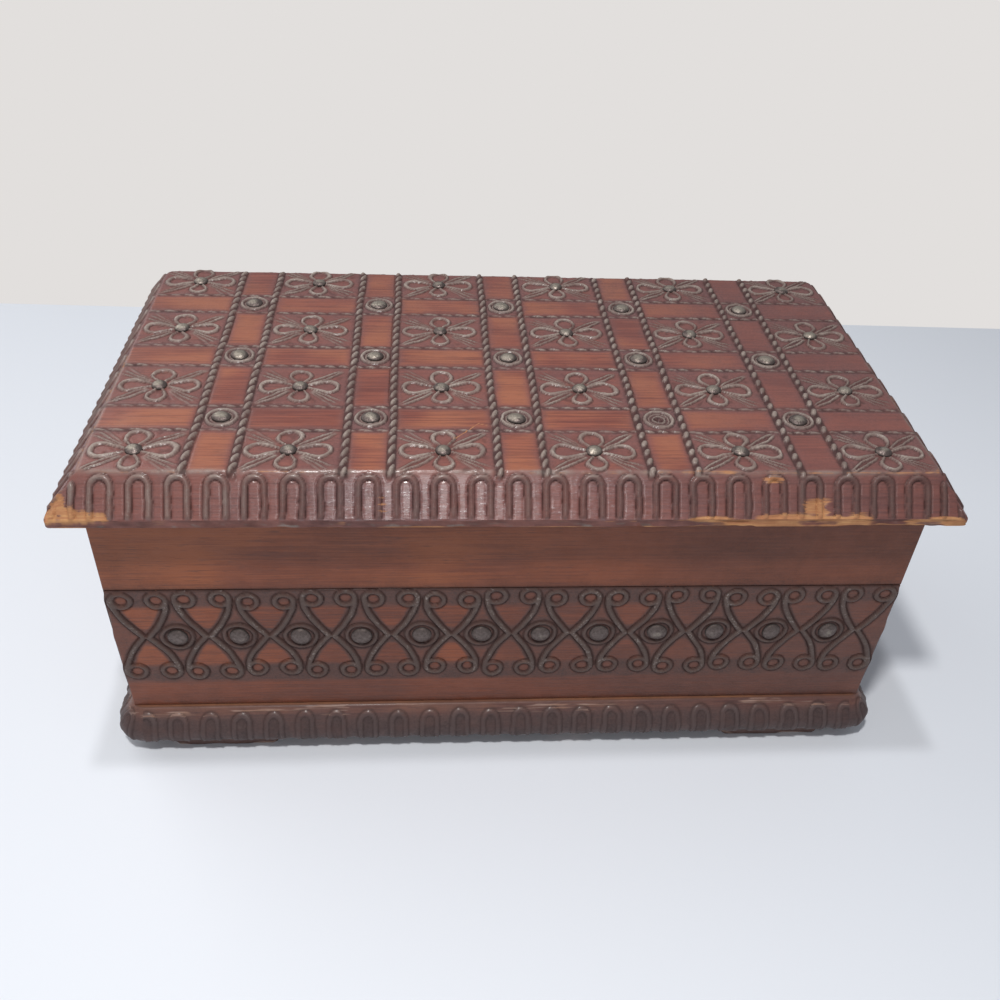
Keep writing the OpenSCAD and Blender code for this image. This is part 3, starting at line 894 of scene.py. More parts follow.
@dataclass(frozen=True)
class LidBoard:
    """Bevelled board with ropes, flowers and rings on its flat top, and arches on its bevels."""

    half_w: float = 120.0
    half_d: float = 65.0
    lip: float = 94.1
    run: float = 7.8
    columns: tuple[float, ...] = (-80.0, -40.0, 0.0, 40.0, 80.0)
    rows: tuple[float, ...] = (-33.3, 0.0, 33.3)
    flower_xs: tuple[float, ...] = (-99.6, -60.5, -20.4, 19.6, 59.4, 99.1)
    flower_ys: tuple[float, ...] = (-48.7, -17.4, 16.1, 48.6)
    column_half: float = 6.1
    row_half: float = 5.8
    lost: tuple[float, float] = (40.0, -33.3)
    arch_pitch: float = 9.62
    arch_r: float = 2.5
    arch_w: float = 1.7
    split: tuple[float, float] = (-35.35, 35.35)
    step: float = 0.37
    fine_step: float = 0.25
    rim: float = 3.2
    lip_rows: int = 6

    def edge(self, x: Array, y: Array) -> Array:
        """How far points lie past the edge of the flat top, the larger of the two directions.

        Args:
            x: X of the points.
            y: Y of the points.

        Returns:
            The distance, blended softly where the two directions meet.
        """
        a = np.abs(x) - (self.half_w - self.run)
        b = np.abs(y) - (self.half_d - self.run)
        return 0.5 * (a + b + np.sqrt((a - b) ** 2 + 3.0))

    def surface(self, x: Array, y: Array) -> Array:
        """Height of the plain board: flat, then falling along the bevel, with a soft edge.

        Args:
            x: X of the points.
            y: Y of the points.

        Returns:
            Height of each point.
        """
        past = self.edge(x, y)
        soft = np.where(past < -0.7, 0.0, np.where(past > 0.7, past, (past + 0.7) ** 2 / 2.8))
        return LID_TOP - soft * (LID_TOP - self.lip) / self.run

    def off_ropes(self, x: Array) -> Array:
        """1 away from the thick ropes and 0 on them."""
        return ease(np.abs(np.abs(nearest(x, self.columns)[0]) - self.column_half), 1.0, 1.6)

    def ropes(self, carving: Carving, x: Array, y: Array) -> None:
        """Winds the ropes: thick ones front to back, and thin ones across between them.

        Args:
            carving: Carving of the whole top.
            x: X of its points.
            y: Y of its points.
        """
        on_top = ease(-self.edge(x, y), np.where(y > 0, -0.3, -1.9), np.where(y > 0, 0.7, -0.9))
        for (number, column), side in product(enumerate(self.columns), (-1, 1)):
            centre = column + side * self.column_half
            part = window(x, y, centre, 0.0, 2.6, math.inf)
            px, py = x[part], y[part]
            sway = 0.22 * blotches(py, 0 * py, 17.0, number * 2 + side)
            creep = 1.3 * blotches(py, 0 * py, 21.0, number * 3 + side + 40)
            swing, worn = (0.55, 0.35) if column < 20 else (0.42, 0.75)
            carving.twist(px - centre - sway, py + creep + 1.7 * number, 2.35, 4.1, 0.85, swing, part,
                          on_top[part], worn)
        for (number, row), side in product(enumerate(self.rows), (-1, 1)):
            centre = row + side * self.row_half
            part = window(x, y, 0.0, centre, math.inf, 2.0)
            px, py = x[part], y[part]
            sway = 0.3 * blotches(px, 0 * px, 13.0, number * 2 + side + 9)
            creep = 1.5 * blotches(px, 0 * px, 9.0, number * 3 + side + 60)
            patchy = 0.7 + 0.3 * blotches(px, py, 6.0, number + 90)
            carving.twist(py - centre - sway, -px + creep, 1.3, 4.3, 0.36, 0.28, part,
                          on_top[part] * self.off_ropes(px) * patchy, 0.6)

    def flower(self, carving: Carving, x: Array, y: Array, fx: float, fy: float, seed: float) -> None:
        """Cuts one flower: four looped petals, a twisted stem along one diagonal, and blades.

        Args:
            carving: Carving of the whole top.
            x: X of its points.
            y: Y of its points.
            fx: X of the flower's middle.
            fy: Y of the flower's middle.
            seed: Number that chooses its irregularities.
        """
        part = window(x, y, fx, fy, 14.2, 11.0)
        px, py = x[part], y[part]
        u = px - fx + 0.34 * blotches(px, py, 5.0, seed) + 0.14 * blotches(px, py, 1.8, seed + 2)
        v = py - fy + 0.34 * blotches(px, py, 5.0, seed + 5) + 0.14 * blotches(px, py, 1.8, seed + 7)
        away, angle = np.hypot(u, v), np.arctan2(v, u)
        room = ease(away, 1.8, 2.6) * within(self.edge(px, py), -0.3, 0.6)
        taper = 0.6 + 0.5 * ease(away, 3.0, 8.0) + 0.32 * blotches(px, py, 2.6, seed + 8)
        for along, across, end, far in ((u, v, 8.0, 2.75), (-u, v, 8.2, 2.85), (v, u, 5.6, 2.95),
                                        (-v, u, 5.5, 2.4)):
            loop = drop_distance(along, across, 2.0, 0.6, end, far)
            carving.stroke(loop, 1.2 * taper, 0.6, part, 0.22, 0.24, room)
            # Painted shade inside each petal loop, along its stroke.
            carving.darken(0.45 * (within(loop, -0.5, 0.0) * ease(loop, -1.5, -0.4)) * room, part)
        self.stem(carving, part, u, v, room)
        # Painted shade round the tack.
        halo = 0.7 * bell(away - 2.7, 1.3) * (0.7 + 0.5 * blotches(angle * 3, 0 * u, 1.0, seed))
        carving.darken(unit(halo), part)
        nicks = ease(blotches(away * 0.42, angle * 5.0, 1.0, seed + 40), 0.45, 0.9) * room
        nicks = nicks * ease(away, 3.5, 6.0) * within(most(np.abs(u) / 13.0, np.abs(v) / 10.0), 0.85, 1.0)
        carving.darken(0.5 * nicks, part)
        carving.cut(0.14 * nicks, part)

    def stem(self, carving: Carving, part: Part, u: Array, v: Array, room: Array) -> None:
        """Cuts a flower's stem, two lines that part and meet again, and the blades across it.

        Args:
            carving: Carving of the whole top.
            part: Rows and columns of the flower.
            u: X of their points from its middle.
            v: Y of their points from its middle.
            room: Factor from 0 to 1 that keeps it off the tack and the bevel.
        """
        along, across = turned(u, v, 36.0)
        far = np.abs(along)
        stem = room * ease(far, 3.0, 4.2) * within(far, 12.5, 15.0)
        leaf = 0.35 + 0.5 * np.sin(unit((far - 3.0) / 11.0) * np.pi)
        carving.stroke(across + leaf, 0.75, 0.42, part, 0.24, 0.3, stem)
        carving.stroke(across - leaf, 0.65, 0.34, part, 0.24, 0.3, stem * 0.9)
        # Painted shade between the stem's two lines.
        carving.darken(0.55 * stem * within(np.abs(across), leaf * 0.4, leaf), part)
        for bend, share in ((29.0, 0.9), (36.5, 0.9), (44.0, 0.5)):
            along, across = turned(u, v, -bend)
            far = np.abs(along)
            blade = room * ease(far, 3.2, 5.5) * within(far, 11.5, 14.5)
            carving.stroke(across, 0.55, 0.3, part, 0.18, 0.26, blade * share)

    def rings(self, carving: Carving, x: Array, y: Array) -> None:
        """Cuts the rings round the crossing tacks, and the small one where a tack was lost.

        Args:
            carving: Carving of the whole top.
            x: X of its points.
            y: Y of its points.
        """
        for number, (cx, cy) in enumerate(product(self.columns, self.rows)):
            part = window(x, y, cx, cy, 5.6, 5.4)
            u, v = x[part] - cx, y[part] - cy
            away = np.hypot(u, v) + 0.12 * blotches(np.arctan2(v, u) * 2, u * 0, 1.0, number)
            carving.stroke(away - 3.95, 1.05, 0.6, part, 0.24, 0.3)
            carving.stroke(away - 2.85, 0.45, 0.25, part, 0.2, 0.25, 0.8)
            if (cx, cy) == self.lost:
                carving.stroke(away - 1.75, 0.5, 0.3, part, 0.25, 0.35)
                carving.cut(2.2 * within(away, 0.75, 1.15), part)
                # Painted shade in the hole where the tack was lost.
                carving.darken(within(away, 0.8, 1.4), part)

    def arches(self, carving: Carving, x: Array, y: Array) -> None:
        """Cuts the arches that stand in rows on the four bevels, and stop at the mitres.

        Args:
            carving: Carving of the whole top.
            x: X of its points.
            y: Y of its points.
        """
        rise = math.hypot(self.run, LID_TOP - self.lip)
        crown = rise - 0.8 - self.arch_r - self.arch_w / 2
        over_x, over_y = self.half_w - np.abs(x), self.half_d - np.abs(y)
        for along, over, other, half, seed, bow in ((x, over_y, over_x, self.half_w, 1.0, 1.2),
                                                    (y, over_x, over_y, self.half_d, 5.0, 0.0)):
            up = over / self.run * rise
            count = int((half - 3.0) / self.arch_pitch)
            middles = np.arange(-count - 1, count + 2) * self.arch_pitch
            wave = 0.16 * blotches(along, up, 4.0, seed) + 0.1 * blotches(along, up, 1.6, seed + 3)
            off, _ = nearest(along + bow * (1 - (along / half) ** 2), middles)
            distance = np.abs(np.hypot(off + wave, np.clip(up - crown, 0, None)) - self.arch_r)
            here = ease(other - over, 0.1, 0.9) * ease(up, 0.05, 0.5) * within(up, rise - 0.6, rise - 0.1)
            knot = 1 + 0.25 * ease(blotches(along, up, 2.3, seed + 7), 0.55, 0.9)
            carving.stroke(distance, self.arch_w * knot, 0.62, WHOLE, 0.34, 0.28, here)
            scratch = bell(np.abs(up - 5.6) % 3.6 + 0.3 * blotches(along, up, 12, seed + 2), 0.25)
            carving.darken(0.3 * scratch * here, WHOLE)

    def cells(self, x: Array, y: Array) -> dict[str, Array]:
        """Stain of the ground: dark crossings, bright plain strips and duller flower squares, with painted
        shade beside the ropes and towards the right and back.

        Args:
            x: X of the points.
            y: Y of the points.

        Returns:
            The grime and bright masks.
        """
        dc = np.abs(nearest(x + 0.35 * blotches(x, y, 3.0, 31), self.columns)[0])
        dr = np.abs(nearest(y + 0.35 * blotches(x, y, 3.0, 32), self.rows)[0])
        in_column = within(dc, self.column_half - 0.3, self.column_half + 0.3)
        in_row = within(dr, self.row_half - 0.3, self.row_half + 0.3)
        crossing = in_column * in_row
        strip = in_column + in_row - 2 * crossing
        flat = within(self.edge(x, y), -0.6, 0.3)
        # Painted shade in the ground beside the ropes.
        shade = most(bell(dc - self.column_half, 2.0), bell(dr - self.row_half, 1.5)) * flat
        uneven = cloud(x, y, 9.0, 51)
        grime = crossing * 0.95 + (1 - crossing) * (0.55 * shade + 0.06 + 0.3 * (1 - strip))
        grime = np.where(flat > 0.5, grime + 0.12 * uneven, 0.35 + 0.3 * uneven)
        # Painted shade: darker towards the right and the back.
        grime = grime + flat * (0.3 * ease(x + 0.3 * y, 0.0, 110.0) + 0.12 * ease(y, -20.0, 40.0))
        squares = (1 - strip - crossing) * np.clip(0.3 + 0.5 * cloud(x, y, 5.0, 53), 0, 0.8)
        bright = unit(strip * (1 - 0.6 * shade) + squares + 0.2 * uneven) * flat
        # Painted shade: less of the bright stain towards the right.
        bright = bright * (1 - 0.5 * ease(x, 25.0, 95.0))
        return {"grime": unit(grime), "bright": unit(bright + 0.35 * (1 - flat))}

    def wear(self, x: Array, y: Array) -> Array:
        """Raw wood: along the top edge, at the corners, and where the front lip has split off.

        Args:
            x: X of the points.
            y: Y of the points.

        Returns:
            The wear mask.
        """
        past, low = self.edge(x, y), y + self.half_d
        rough, fine = cloud(x, y, 7.0, 71), cloud(x, y, 2.0, 75)
        side = np.where(np.abs(x) - self.half_w > np.abs(y) - self.half_d, 0.4, 0.85)
        rim = side * bell(past - 0.2, 0.42) * (0.36 + 0.3 * rough + 0.4 * fine) * self.off_ropes(x)
        corner = ease(np.abs(x) + np.abs(y), 178.0, 184.5) * (0.45 + 0.5 * rough)
        left = bell(low, 1.7 + 4.5 * within(x, -118, -109)) * within(x, -107, -101) * (0.8 + 0.7 * fine)
        right = bell(low, 1.2) * ease(x, 58, 64) * within(x, 90, 96) * (0.85 + 0.6 * rough)
        small = bell(low, 0.6) * most(bell(x - 49, 7), bell(x - 114, 6)) * 1.1
        dashes = bell(low - 1.4, 0.32) + bell(low - 2.5, 0.32) + bell(low - 3.5, 0.3)
        dashes = bell(x + 36, 1.9) * dashes * 0.76
        climb = 1.4 * bell(x - 79, 6.5) * bell(low - 1.8, 1.9) * (0.6 + 0.8 * cloud(x, y * 3, 7.0, 78))
        chip = most(bell(x - 66, 3.5) * bell(past - 1.5, 0.8), dashes, climb)
        rub = bell(past - 0.2, 0.7) * most(ease(x, 20.0, 55.0), within(x, -106.0, -92.0)) * (y < 0)
        rub = rub * np.clip(0.42 + 0.3 * cloud(x, y * 2, 6.0, 75), 0, 0.62)
        scratch = most(*(within(segment_distance(x, y, a, b), 0.08, 0.3) for a, b in (
            ((-19.0, -45.0), (-10.6, -35.4)), ((-10.6, -35.4), (-8.0, -36.2)))))
        return unit(most(rim, corner, left, right, small, 0.8 * chip, 0.7 * scratch, rub))

    def masks(self, carving: Carving, x: Array, y: Array) -> dict[str, Array]:
        """Masks of the whole top, from the stain, the wear, the carved lines, and painted shade,
        highlights, sheen and glints.

        Args:
            carving: The finished carving.
            x: X of its points.
            y: Y of its points.

        Returns:
            Values of each mask but bare, which is 0 here.
        """
        past, wear = self.edge(x, y), self.wear(x, y)
        # shine: where the painted sheen and glints gather on the front bevel, round x -14.
        shine = 0.14 + 0.86 * bell(x + 14.0, 44.0) * within(y, -58.0, -50.0)
        bevel = ease(past, 0.3, 1.5)
        glaze = bevel * shine * (0.75 + 0.5 * cloud(x, y, 14.0, 77)) * (1 - 0.75 * carving.line)
        # glare: past x -88 the bevel's carved lines are painted darker, as they look against the sheen.
        glare = bevel * (0.35 + 0.65 * ease(x, -88.0, -50.0))
        patchy = np.where(bevel > 0.5, 0.55 + 0.45 * unit(cloud(x, y, 3.5, 74) + 0.3), 1.0)
        line = carving.line * (1 - 0.5 * wear) * (1 - 0.75 * glare) * patchy
        # Painted highlight along the front top edge.
        crest = bell(past - 0.1, 0.6) * unit(0.5 + 0.7 * cloud(x, y, 5.0, 79)) * (y < 0)
        # Painted shade: the groove mask darkens towards the right, and on the bevels away from the sheen.
        shade = 0.17 * ease(x + 0.3 * y, 10.0, 100.0) + 0.18 * bevel * (1 - shine)
        groove = unit(most(carving.dark(), 0.5 * carving.line * glare) + shade)
        return self.cells(x, y) | {"wear": wear, "glaze": glaze, "line": most(line, 0.8 * crest),
                                   "groove": groove}

    def relief(self, carving: Carving, masks: dict[str, Array], x: Array, y: Array) -> Array:
        """Raises the carving off the plain surface, square to it, within the board's outline.

        Args:
            carving: The finished carving.
            masks: Masks of the top.
            x: X of the plain points.
            y: Y of the plain points.

        Returns:
            The points, rows by columns by 3.
        """
        height = carving.height()
        height += 0.05 * masks["grime"] * blotches(x, y, 0.8, 11) + 0.06 * blotches(x, y, 6.0, 12)
        height -= 0.35 * ease(masks["wear"], 0.45, 0.8) * (0.6 + 0.5 * blotches(x, y, 2.5, 14))
        inner = ease(np.minimum(self.half_w - np.abs(x), self.half_d - np.abs(y)), 0.0, 0.4)
        z = self.surface(x, y)
        fall_y, fall_x = np.gradient(z, y[:, 0], x[0])
        size = np.sqrt(1 + fall_x ** 2 + fall_y ** 2)
        px, py = x - fall_x / size * height * inner, y - fall_y / size * height * inner
        px, py = self.round_corners(px, py, x, y)
        return np.stack([np.clip(px, -self.half_w, self.half_w), np.clip(py, -self.half_d, self.half_d),
                         z + height * inner / size], axis=-1)

    def round_corners(self, px: Array, py: Array, x: Array, y: Array) -> tuple[Array, Array]:
        """Draws the square corners in to a worn round, by the ratio of a square to its circle.

        Args:
            px: X of the carved points.
            py: Y of the carved points.
            x: X of the plain points.
            y: Y of the plain points.

        Returns:
            X and Y of the points drawn in.
        """
        radius = 1.4
        dx = np.clip(np.abs(x) - (self.half_w - radius), 0, None) / radius
        dy = np.clip(np.abs(y) - (self.half_d - radius), 0, None) / radius
        reach = np.maximum(np.hypot(dx, dy), 1e-6)
        share = np.where((dx > 0) & (dy > 0), np.maximum(dx, dy) / reach, 1.0)
        return px - np.sign(x) * dx * radius * (1 - share), py - np.sign(y) * dy * radius * (1 - share)

    def build(self, finishes: Finishes) -> None:
        """Works out the whole surface once and makes it in three panels.

        Args:
            finishes: The box's finishes.
        """
        edge_w, edge_d = self.half_w - self.run - 0.4, self.half_d - self.run - 0.4
        xs = stations((-self.half_w, -edge_w, *self.split, edge_w, self.half_w),
                      (self.fine_step, self.step, self.step, self.step, self.fine_step))
        ys = stations((-self.half_d, -edge_d, edge_d, self.half_d),
                      (self.fine_step, self.step, self.fine_step))
        x, y = np.meshgrid(xs, ys)
        carving = Carving(x.shape)
        self.arches(carving, x, y)
        for number, (fx, fy) in enumerate(product(self.flower_xs, self.flower_ys), 1):
            self.flower(carving, x, y, fx, fy, number * 1.37)
        self.rings(carving, x, y)
        self.ropes(carving, x, y)
        masks = self.masks(carving, x, y)
        points = self.relief(carving, masks, x, y)
        cuts = [0, *(int(np.argmin(np.abs(xs - s))) for s in self.split), len(xs) - 1]
        names = ("lid_board_left", "lid_board_middle", "lid_board_right")
        for name, start, stop in zip(names, cuts[:-1], cuts[1:]):
            cols = slice(start, stop + 1)
            piece = self.panel(name, points[:, cols], {k: v[:, cols] for k, v in masks.items()})
            dress(piece, finishes.lid, "lid", ["lid_board"])

    def panel(self, name: str, points: Array, masks: dict[str, Array]) -> bpy.types.Object:
        """Closes one panel: its carved top, the lip round it and the flat underside.

        Args:
            name: Name of the piece.
            points: Points of its top.
            masks: Masks of its top.

        Returns:
            The object.
        """
        solid = Solid(name)
        solid.sheet(points, masks)
        ring = border(points)
        x, y, along = ring[:, 0], ring[:, 1], ring[:, 0] + ring[:, 1]
        depth = np.linspace(0, 1, self.lip_rows)[:, None]
        front = (y < -self.half_d + self.rim) & (x > 30)
        out_x, out_y = np.abs(x) > self.half_w - self.rim, np.abs(y) > self.half_d - self.rim
        outside = (out_x | out_y)[None] * 1.0
        rows = np.repeat(ring[None], self.lip_rows, axis=0)
        split = outside * np.clip(cloud(along, 0 * along, 9.0, 97) - 0.35 + 0.35 * front, 0, 1.1)
        rows[..., 2] = ring[:, 2] * (1 - depth) + (SKIRT_TOP + split) * depth
        dent = 0.35 * unit(cloud(along, depth * 4, 9.0, 81))
        dent = dent + 0.9 * front * unit(cloud(along, depth * 5, 7.0, 83) + 0.15)
        dent = dent * np.sin(np.pi * (0.1 + 0.9 * depth))
        rows[..., 0] -= np.sign(x) * out_x * dent
        rows[..., 1] -= np.sign(y) * out_y * dent
        raw = 0.55 * front * ease(x, 34, 60) * (0.7 + cloud(along, depth * 3, 11.0, 88))
        raw = unit(0.25 + 0.5 * cloud(along, depth * 3, 6.0, 87) + raw)
        under = bell(1 - depth, 0.22) * (0.45 + 0.5 * cloud(along, depth, 8.0, 89))
        wear = most(border(masks["wear"]) * (1 - depth), raw - 0.12, under) * outside
        # Painted highlight: a pale broken line near the lip's lower edge.
        line = 0.8 * ease(cloud(along, depth * 7, 3.0, 93), 0.1, 0.5) * bell(depth - 0.8, 0.25)
        streaks = 0.45 * cloud(along, depth * 4, 5.0, 92) + 0.3 * cloud(along, depth * 5, 2.2, 94)
        solid.sheet(rows, {"wear": wear, "line": line, "groove": np.clip(0.42 + streaks, 0, 0.8),
                           "grime": 0.3, "bright": 0.6, "bare": 1 - outside}, ring=True)
        low = np.repeat(rows[-1:], 2, axis=0)
        low[1, :, 0] = np.clip(low[1, :, 0], self.rim - self.half_w, self.half_w - self.rim)
        low[1, :, 1] = np.clip(low[1, :, 1], self.rim - self.half_d, self.half_d - self.rim)
        low[1, :, 2] = SKIRT_TOP
        solid.cap(solid.sheet(low, {"bare": 1.0}, ring=True)[-1])
        return solid.build(75.0)


# Walls of the case and rails of the lid

class Side(Enum):
    """Side of the box on which a board stands."""

    FRONT = "front"
    BACK = "back"
    LEFT = "left"
    RIGHT = "right"

    @property
    def long(self) -> bool:
        """Whether the board runs along X."""
        return self in (Side.FRONT, Side.BACK)

    def place(self, along: Array, out: Array, up: Array) -> Array:
        """Points of a board in the box's frame.

        Args:
            along: Place along the board.
            out: Place out of its outer face.
            up: Height.

        Returns:
            The points, with X, Y and Z last.
        """
        reach = CASE_HALF_D if self.long else CASE_HALF_W
        along, out, up = np.broadcast_arrays(along, out + reach, up)
        flat = {Side.FRONT: (along, -out), Side.BACK: (-along, out), Side.LEFT: (-out, -along),
                Side.RIGHT: (out, along)}[self]
        return np.stack([*flat, up], axis=-1)


class HingeEdge(Enum):
    """Edge of a board that the hinges are let into."""

    NONE = 0
    TOP = 1
    BOTTOM = -1


@dataclass(frozen=True)
class Board:
    """Upright board, cut at its ends for the corner joints, and carved on its outer face if wanted.

    The board is one closed loop of rows (inner face, top, outer face, bottom) swept along its
    length, with each row's place worked out from the length, so that rabbets, chamfer and hinge
    recesses are part of the same grid.
    """

    name: str
    side: Side
    bottom: float
    top: float
    edge: HingeEdge = HingeEdge.NONE
    carved: bool = False
    seed: float = 1.0
    thickness: float = 8.0
    rabbet: float = 4.0
    arris: float = 0.35
    pitch: float = 17.385
    pin_depth: float = 2.2
    hinge_len: float = 24.0
    chamfer: float = 50.5
    step: float = 0.37
    ring_r: float = 2.55
    arm_x: float = 0.75

    @property
    def length(self) -> float:
        """Length of the board: the whole case for a long one, between the rabbets for a short one."""
        return 2 * (CASE_HALF_W if self.side.long else CASE_HALF_D - self.rabbet)

    def edge_height(self, s: Array, out: Array) -> Array:
        """Height of the hinged edge, seen as if it were the case's top edge.

        The flat edge falls along the chamfer past the hinge line, and drops to the leaf's recess
        and to the round trough of the knuckles where a hinge sits.

        Args:
            s: Place along the board.
            out: Place out of its face.

        Returns:
            Height of the edge.
        """
        seam = SEAM_MIDDLE - 0.1
        beyond = out + self.pin_depth
        level = np.minimum(seam, SEAM_MIDDLE - beyond * math.tan(math.radians(self.chamfer)))
        near = np.abs(np.abs(s) - HINGE_X)
        leaf = (near < self.hinge_len / 2 + 0.1) & (out > -self.pin_depth - 5.3) & (beyond < 0.0)
        level = np.where(leaf, np.minimum(level, seam - 0.8), level)
        trough = SEAM_MIDDLE - np.sqrt(np.clip(1.9 ** 2 - beyond ** 2, 0, None))
        in_trough = (near < self.hinge_len / 2 + 0.2) & (np.abs(beyond) < 1.9)
        return np.where(in_trough, np.minimum(level, trough), level)

    def levels(self, s: Array, out: Array) -> tuple[Array, Array]:
        """Bottom and top of the board.

        Args:
            s: Place along the board.
            out: Place out of its face.

        Returns:
            The two heights.
        """
        low, high = (np.full(np.broadcast(s, out).shape, level) for level in (self.bottom, self.top))
        if self.edge is HingeEdge.TOP:
            high = self.edge_height(s, out)
        if self.edge is HingeEdge.BOTTOM:
            low = 2 * SEAM_MIDDLE - self.edge_height(s, out)
        return low, high

    def scrolls(self, s: Array, z: Array) -> tuple[Carving, dict[str, Array]]:
        """Carves the band: pairs of arms that part from each crossing and curl into rings.

        An arm's middle swings out as a sine of its height over the crossing until it meets the
        outside of its ring. A wider ring goes round each tack between two motifs.

        Args:
            s: Place along the board.
            z: Height.

        Returns:
            The carving and the masks of the ground.
        """
        carving = Carving(s.shape)
        s = s + 0.22 * blotches(s, z, 6.0, self.seed) + 0.1 * blotches(s, z, 2.0, self.seed + 9)
        b = z + 0.22 * blotches(s, z, 6.0, self.seed + 3) - BAND_MIDDLE
        count = round(self.length / self.pitch)
        pitch = self.length / count
        motifs = (np.arange(count) - (count - 1) / 2) * pitch
        a, number = nearest(s, motifs)
        reach, side = np.abs(b), np.abs(a)
        ring_x = pitch / 2 - 2.6 - 1.2
        ring_y = np.where(b > 0, 14.3, 14.1) * (1 + 0.05 * np.sin(number * 2.3))
        swing = ring_x + self.ring_r - self.arm_x
        t = unit(reach / ring_y)
        centre = self.arm_x + swing * np.sin(t * np.pi / 2)
        slope = swing * np.pi / 2 / ring_y * np.cos(t * np.pi / 2)
        arm = np.abs(side - centre) / np.sqrt(1 + slope ** 2)
        carving.stroke(arm, 1.75, 0.6, WHOLE, 0.28, 0.45, within(reach, 14.1, 14.6))
        in_ring = np.hypot(side - ring_x, reach - ring_y)
        ring = np.abs(in_ring - self.ring_r)
        carving.stroke(ring, 1.6, 0.5, WHOLE, 0.26, 0.35)
        d, which = nearest(s, (motifs[1:] + motifs[:-1]) / 2)
        round_tack = np.hypot(d, b - 0.2 * np.sin(which * 1.7))
        carving.stroke(round_tack - 4.35, 1.35, 0.5, WHOLE, 0.24, 0.45)
        second = np.hypot(d + 0.55, b - 0.35) - 4.75
        carving.stroke(second, 0.6, 0.35, WHOLE, 0.2, 0.35, ease(d - b * 0.4, 0.5, 2.0))
        dusty = 0.7 + 0.4 * cloud(s, z, 3.0, self.seed + 25)
        carving.line *= 1 - 0.6 * bell(round_tack - 4.4, 1.2) * dusty
        carving.line *= 1 - 0.5 * bell(ring, 0.9) * ease(arm, 0.8, 1.6) * dusty
        band, eye = within(reach, 18.2, 18.9), within(in_ring, 1.2, 1.9)
        inside = ease(centre - side, 1.3, 2.6) * ease(reach, 2.2, 4.0) * within(reach, 10.8, 13.0)
        beside = ease(np.hypot(d, b), 5.2, 7.0) * ease(side - centre, 1.2, 2.4)
        uneven = cloud(s, z, 8.0, self.seed + 21)
        grime = band * (0.95 - 0.8 * inside - 0.45 * beside - 0.7 * eye) + 0.1 * uneven
        bright = (1 - band) * 0.55 + inside + 0.45 * beside + 0.5 * eye + 0.15 * uneven
        return carving, {"grime": unit(grime), "bright": unit(bright)}

    def rows(self) -> tuple[Array, Array, Array]:
        """Rows of the loop.

        Returns:
            Which face each row is on, its place out of the outer face, and its share of the height.
        """
        inner, height = -self.thickness, self.top - self.bottom
        edges = [inner, inner + 0.25, -4.1, -1.0, -self.arris]
        if self.edge is not HingeEdge.NONE:
            edges[2:4] = [-7.55, -7.45, -6.8, -6.0, -5.0, -4.15, -4.05, -3.6, -3.0, -2.4, -2.25, -2.15,
                          -1.7, -1.2, -0.75, -0.5]
        edges = np.array(edges)
        fine = self.arris * np.array([0, 0.3, 0.6, 1.0])
        if self.carved:
            plain = stations((1.0, 11.0), (1.2,))[:-1]
            outer_z = np.concatenate([plain, stations((11.0, height - 1.0), (self.step,))])
        else:
            outer_z = stations((1.0, height - 1.0), (1.4,))
        outer_z = np.unique(np.round(np.concatenate([fine, outer_z, height - fine]), 4)) / height
        inner_z = stations((0, height), (6.0 if self.carved else 5.0,)) / height
        sizes = (len(inner_z), len(edges), len(outer_z), len(edges))
        out = np.concatenate([np.full(len(inner_z), inner), edges, np.zeros(len(outer_z)), edges[::-1]])
        share = np.concatenate([inner_z, np.ones(len(edges)), outer_z[::-1], np.zeros(len(edges))])
        return np.repeat(np.arange(4), sizes), out, share

    def columns(self) -> Array:
        """Grid lines along the board, close together where it is carved or cut.

        Returns:
            Places along the board, in order.
        """
        half, hinged = self.length / 2, self.edge is not HingeEdge.NONE
        step = self.step if self.carved else 1.2 if hinged else 1.5
        extra = [half - self.arris * k for k in (0.3, 0.6, 1.0)]
        if self.side.long:
            extra += [CASE_HALF_W - self.thickness, CASE_HALF_W - self.thickness + 0.04]
        if hinged:
            extra += [HINGE_X + sign * (self.hinge_len / 2 + d) for sign in (-1, 1)
                      for d in (0.07, 0.13, 0.17, 0.23)]
        lines = np.concatenate([stations((-half, half), (step,)), extra, -np.array(extra)])
        return np.unique(np.round(lines, 4))

    def make(self) -> bpy.types.Object:
        """Sweeps the loop of rows along the board and closes its ends.

        Returns:
            The object.
        """
        face, out, share = (v[:, None] for v in self.rows())
        s, half = self.columns()[None], self.length / 2
        in_rabbet = self.side.long & (np.abs(s) > CASE_HALF_W - self.thickness + 0.02)
        place = np.maximum(out, np.where(in_rabbet, -self.rabbet, -self.thickness))
        low, high = self.levels(s, place)
        z = low + (high - low) * share
        s = s + 0 * z
        near_edge, near_end = np.minimum(z - low, high - z), half - np.abs(s)
        carving, masks = (self.scrolls(s, z) if self.carved
                          else (Carving(z.shape), {"grime": 0 * z, "bright": 0.8 + 0 * z}))
        values = self.masks(carving, masks, face + 0 * z, s, z, near_edge, near_end)
        height = carving.height() * ease(np.minimum(near_edge, near_end), 0.0, 0.35)
        height = height + 0.05 * cloud(s, z, 22.0, self.seed + 31)
        inset = rounding(near_edge, self.arris) + (rounding(near_end, self.arris) if self.side.long else 0)
        place = np.where(face == 2, place + height - inset, place)
        if self.carved and self.side.long:
            lobes = bell(z - 59.0, 2.6) + 1.1 * bell(z - BAND_MIDDLE, 4.4) + bell(z - 31.2, 2.8)
            s = s + np.sign(s) * 0.5 * lobes * ease(np.abs(s), half - 2.5, half) * ease(near_edge, 0.5, 2.5)
        solid = Solid(self.name)
        index = solid.sheet(self.side.place(s, place, z), values, hoop=True)
        solid.cap(index[:, 0])
        solid.cap(index[:, -1])
        return solid.build(50.0)

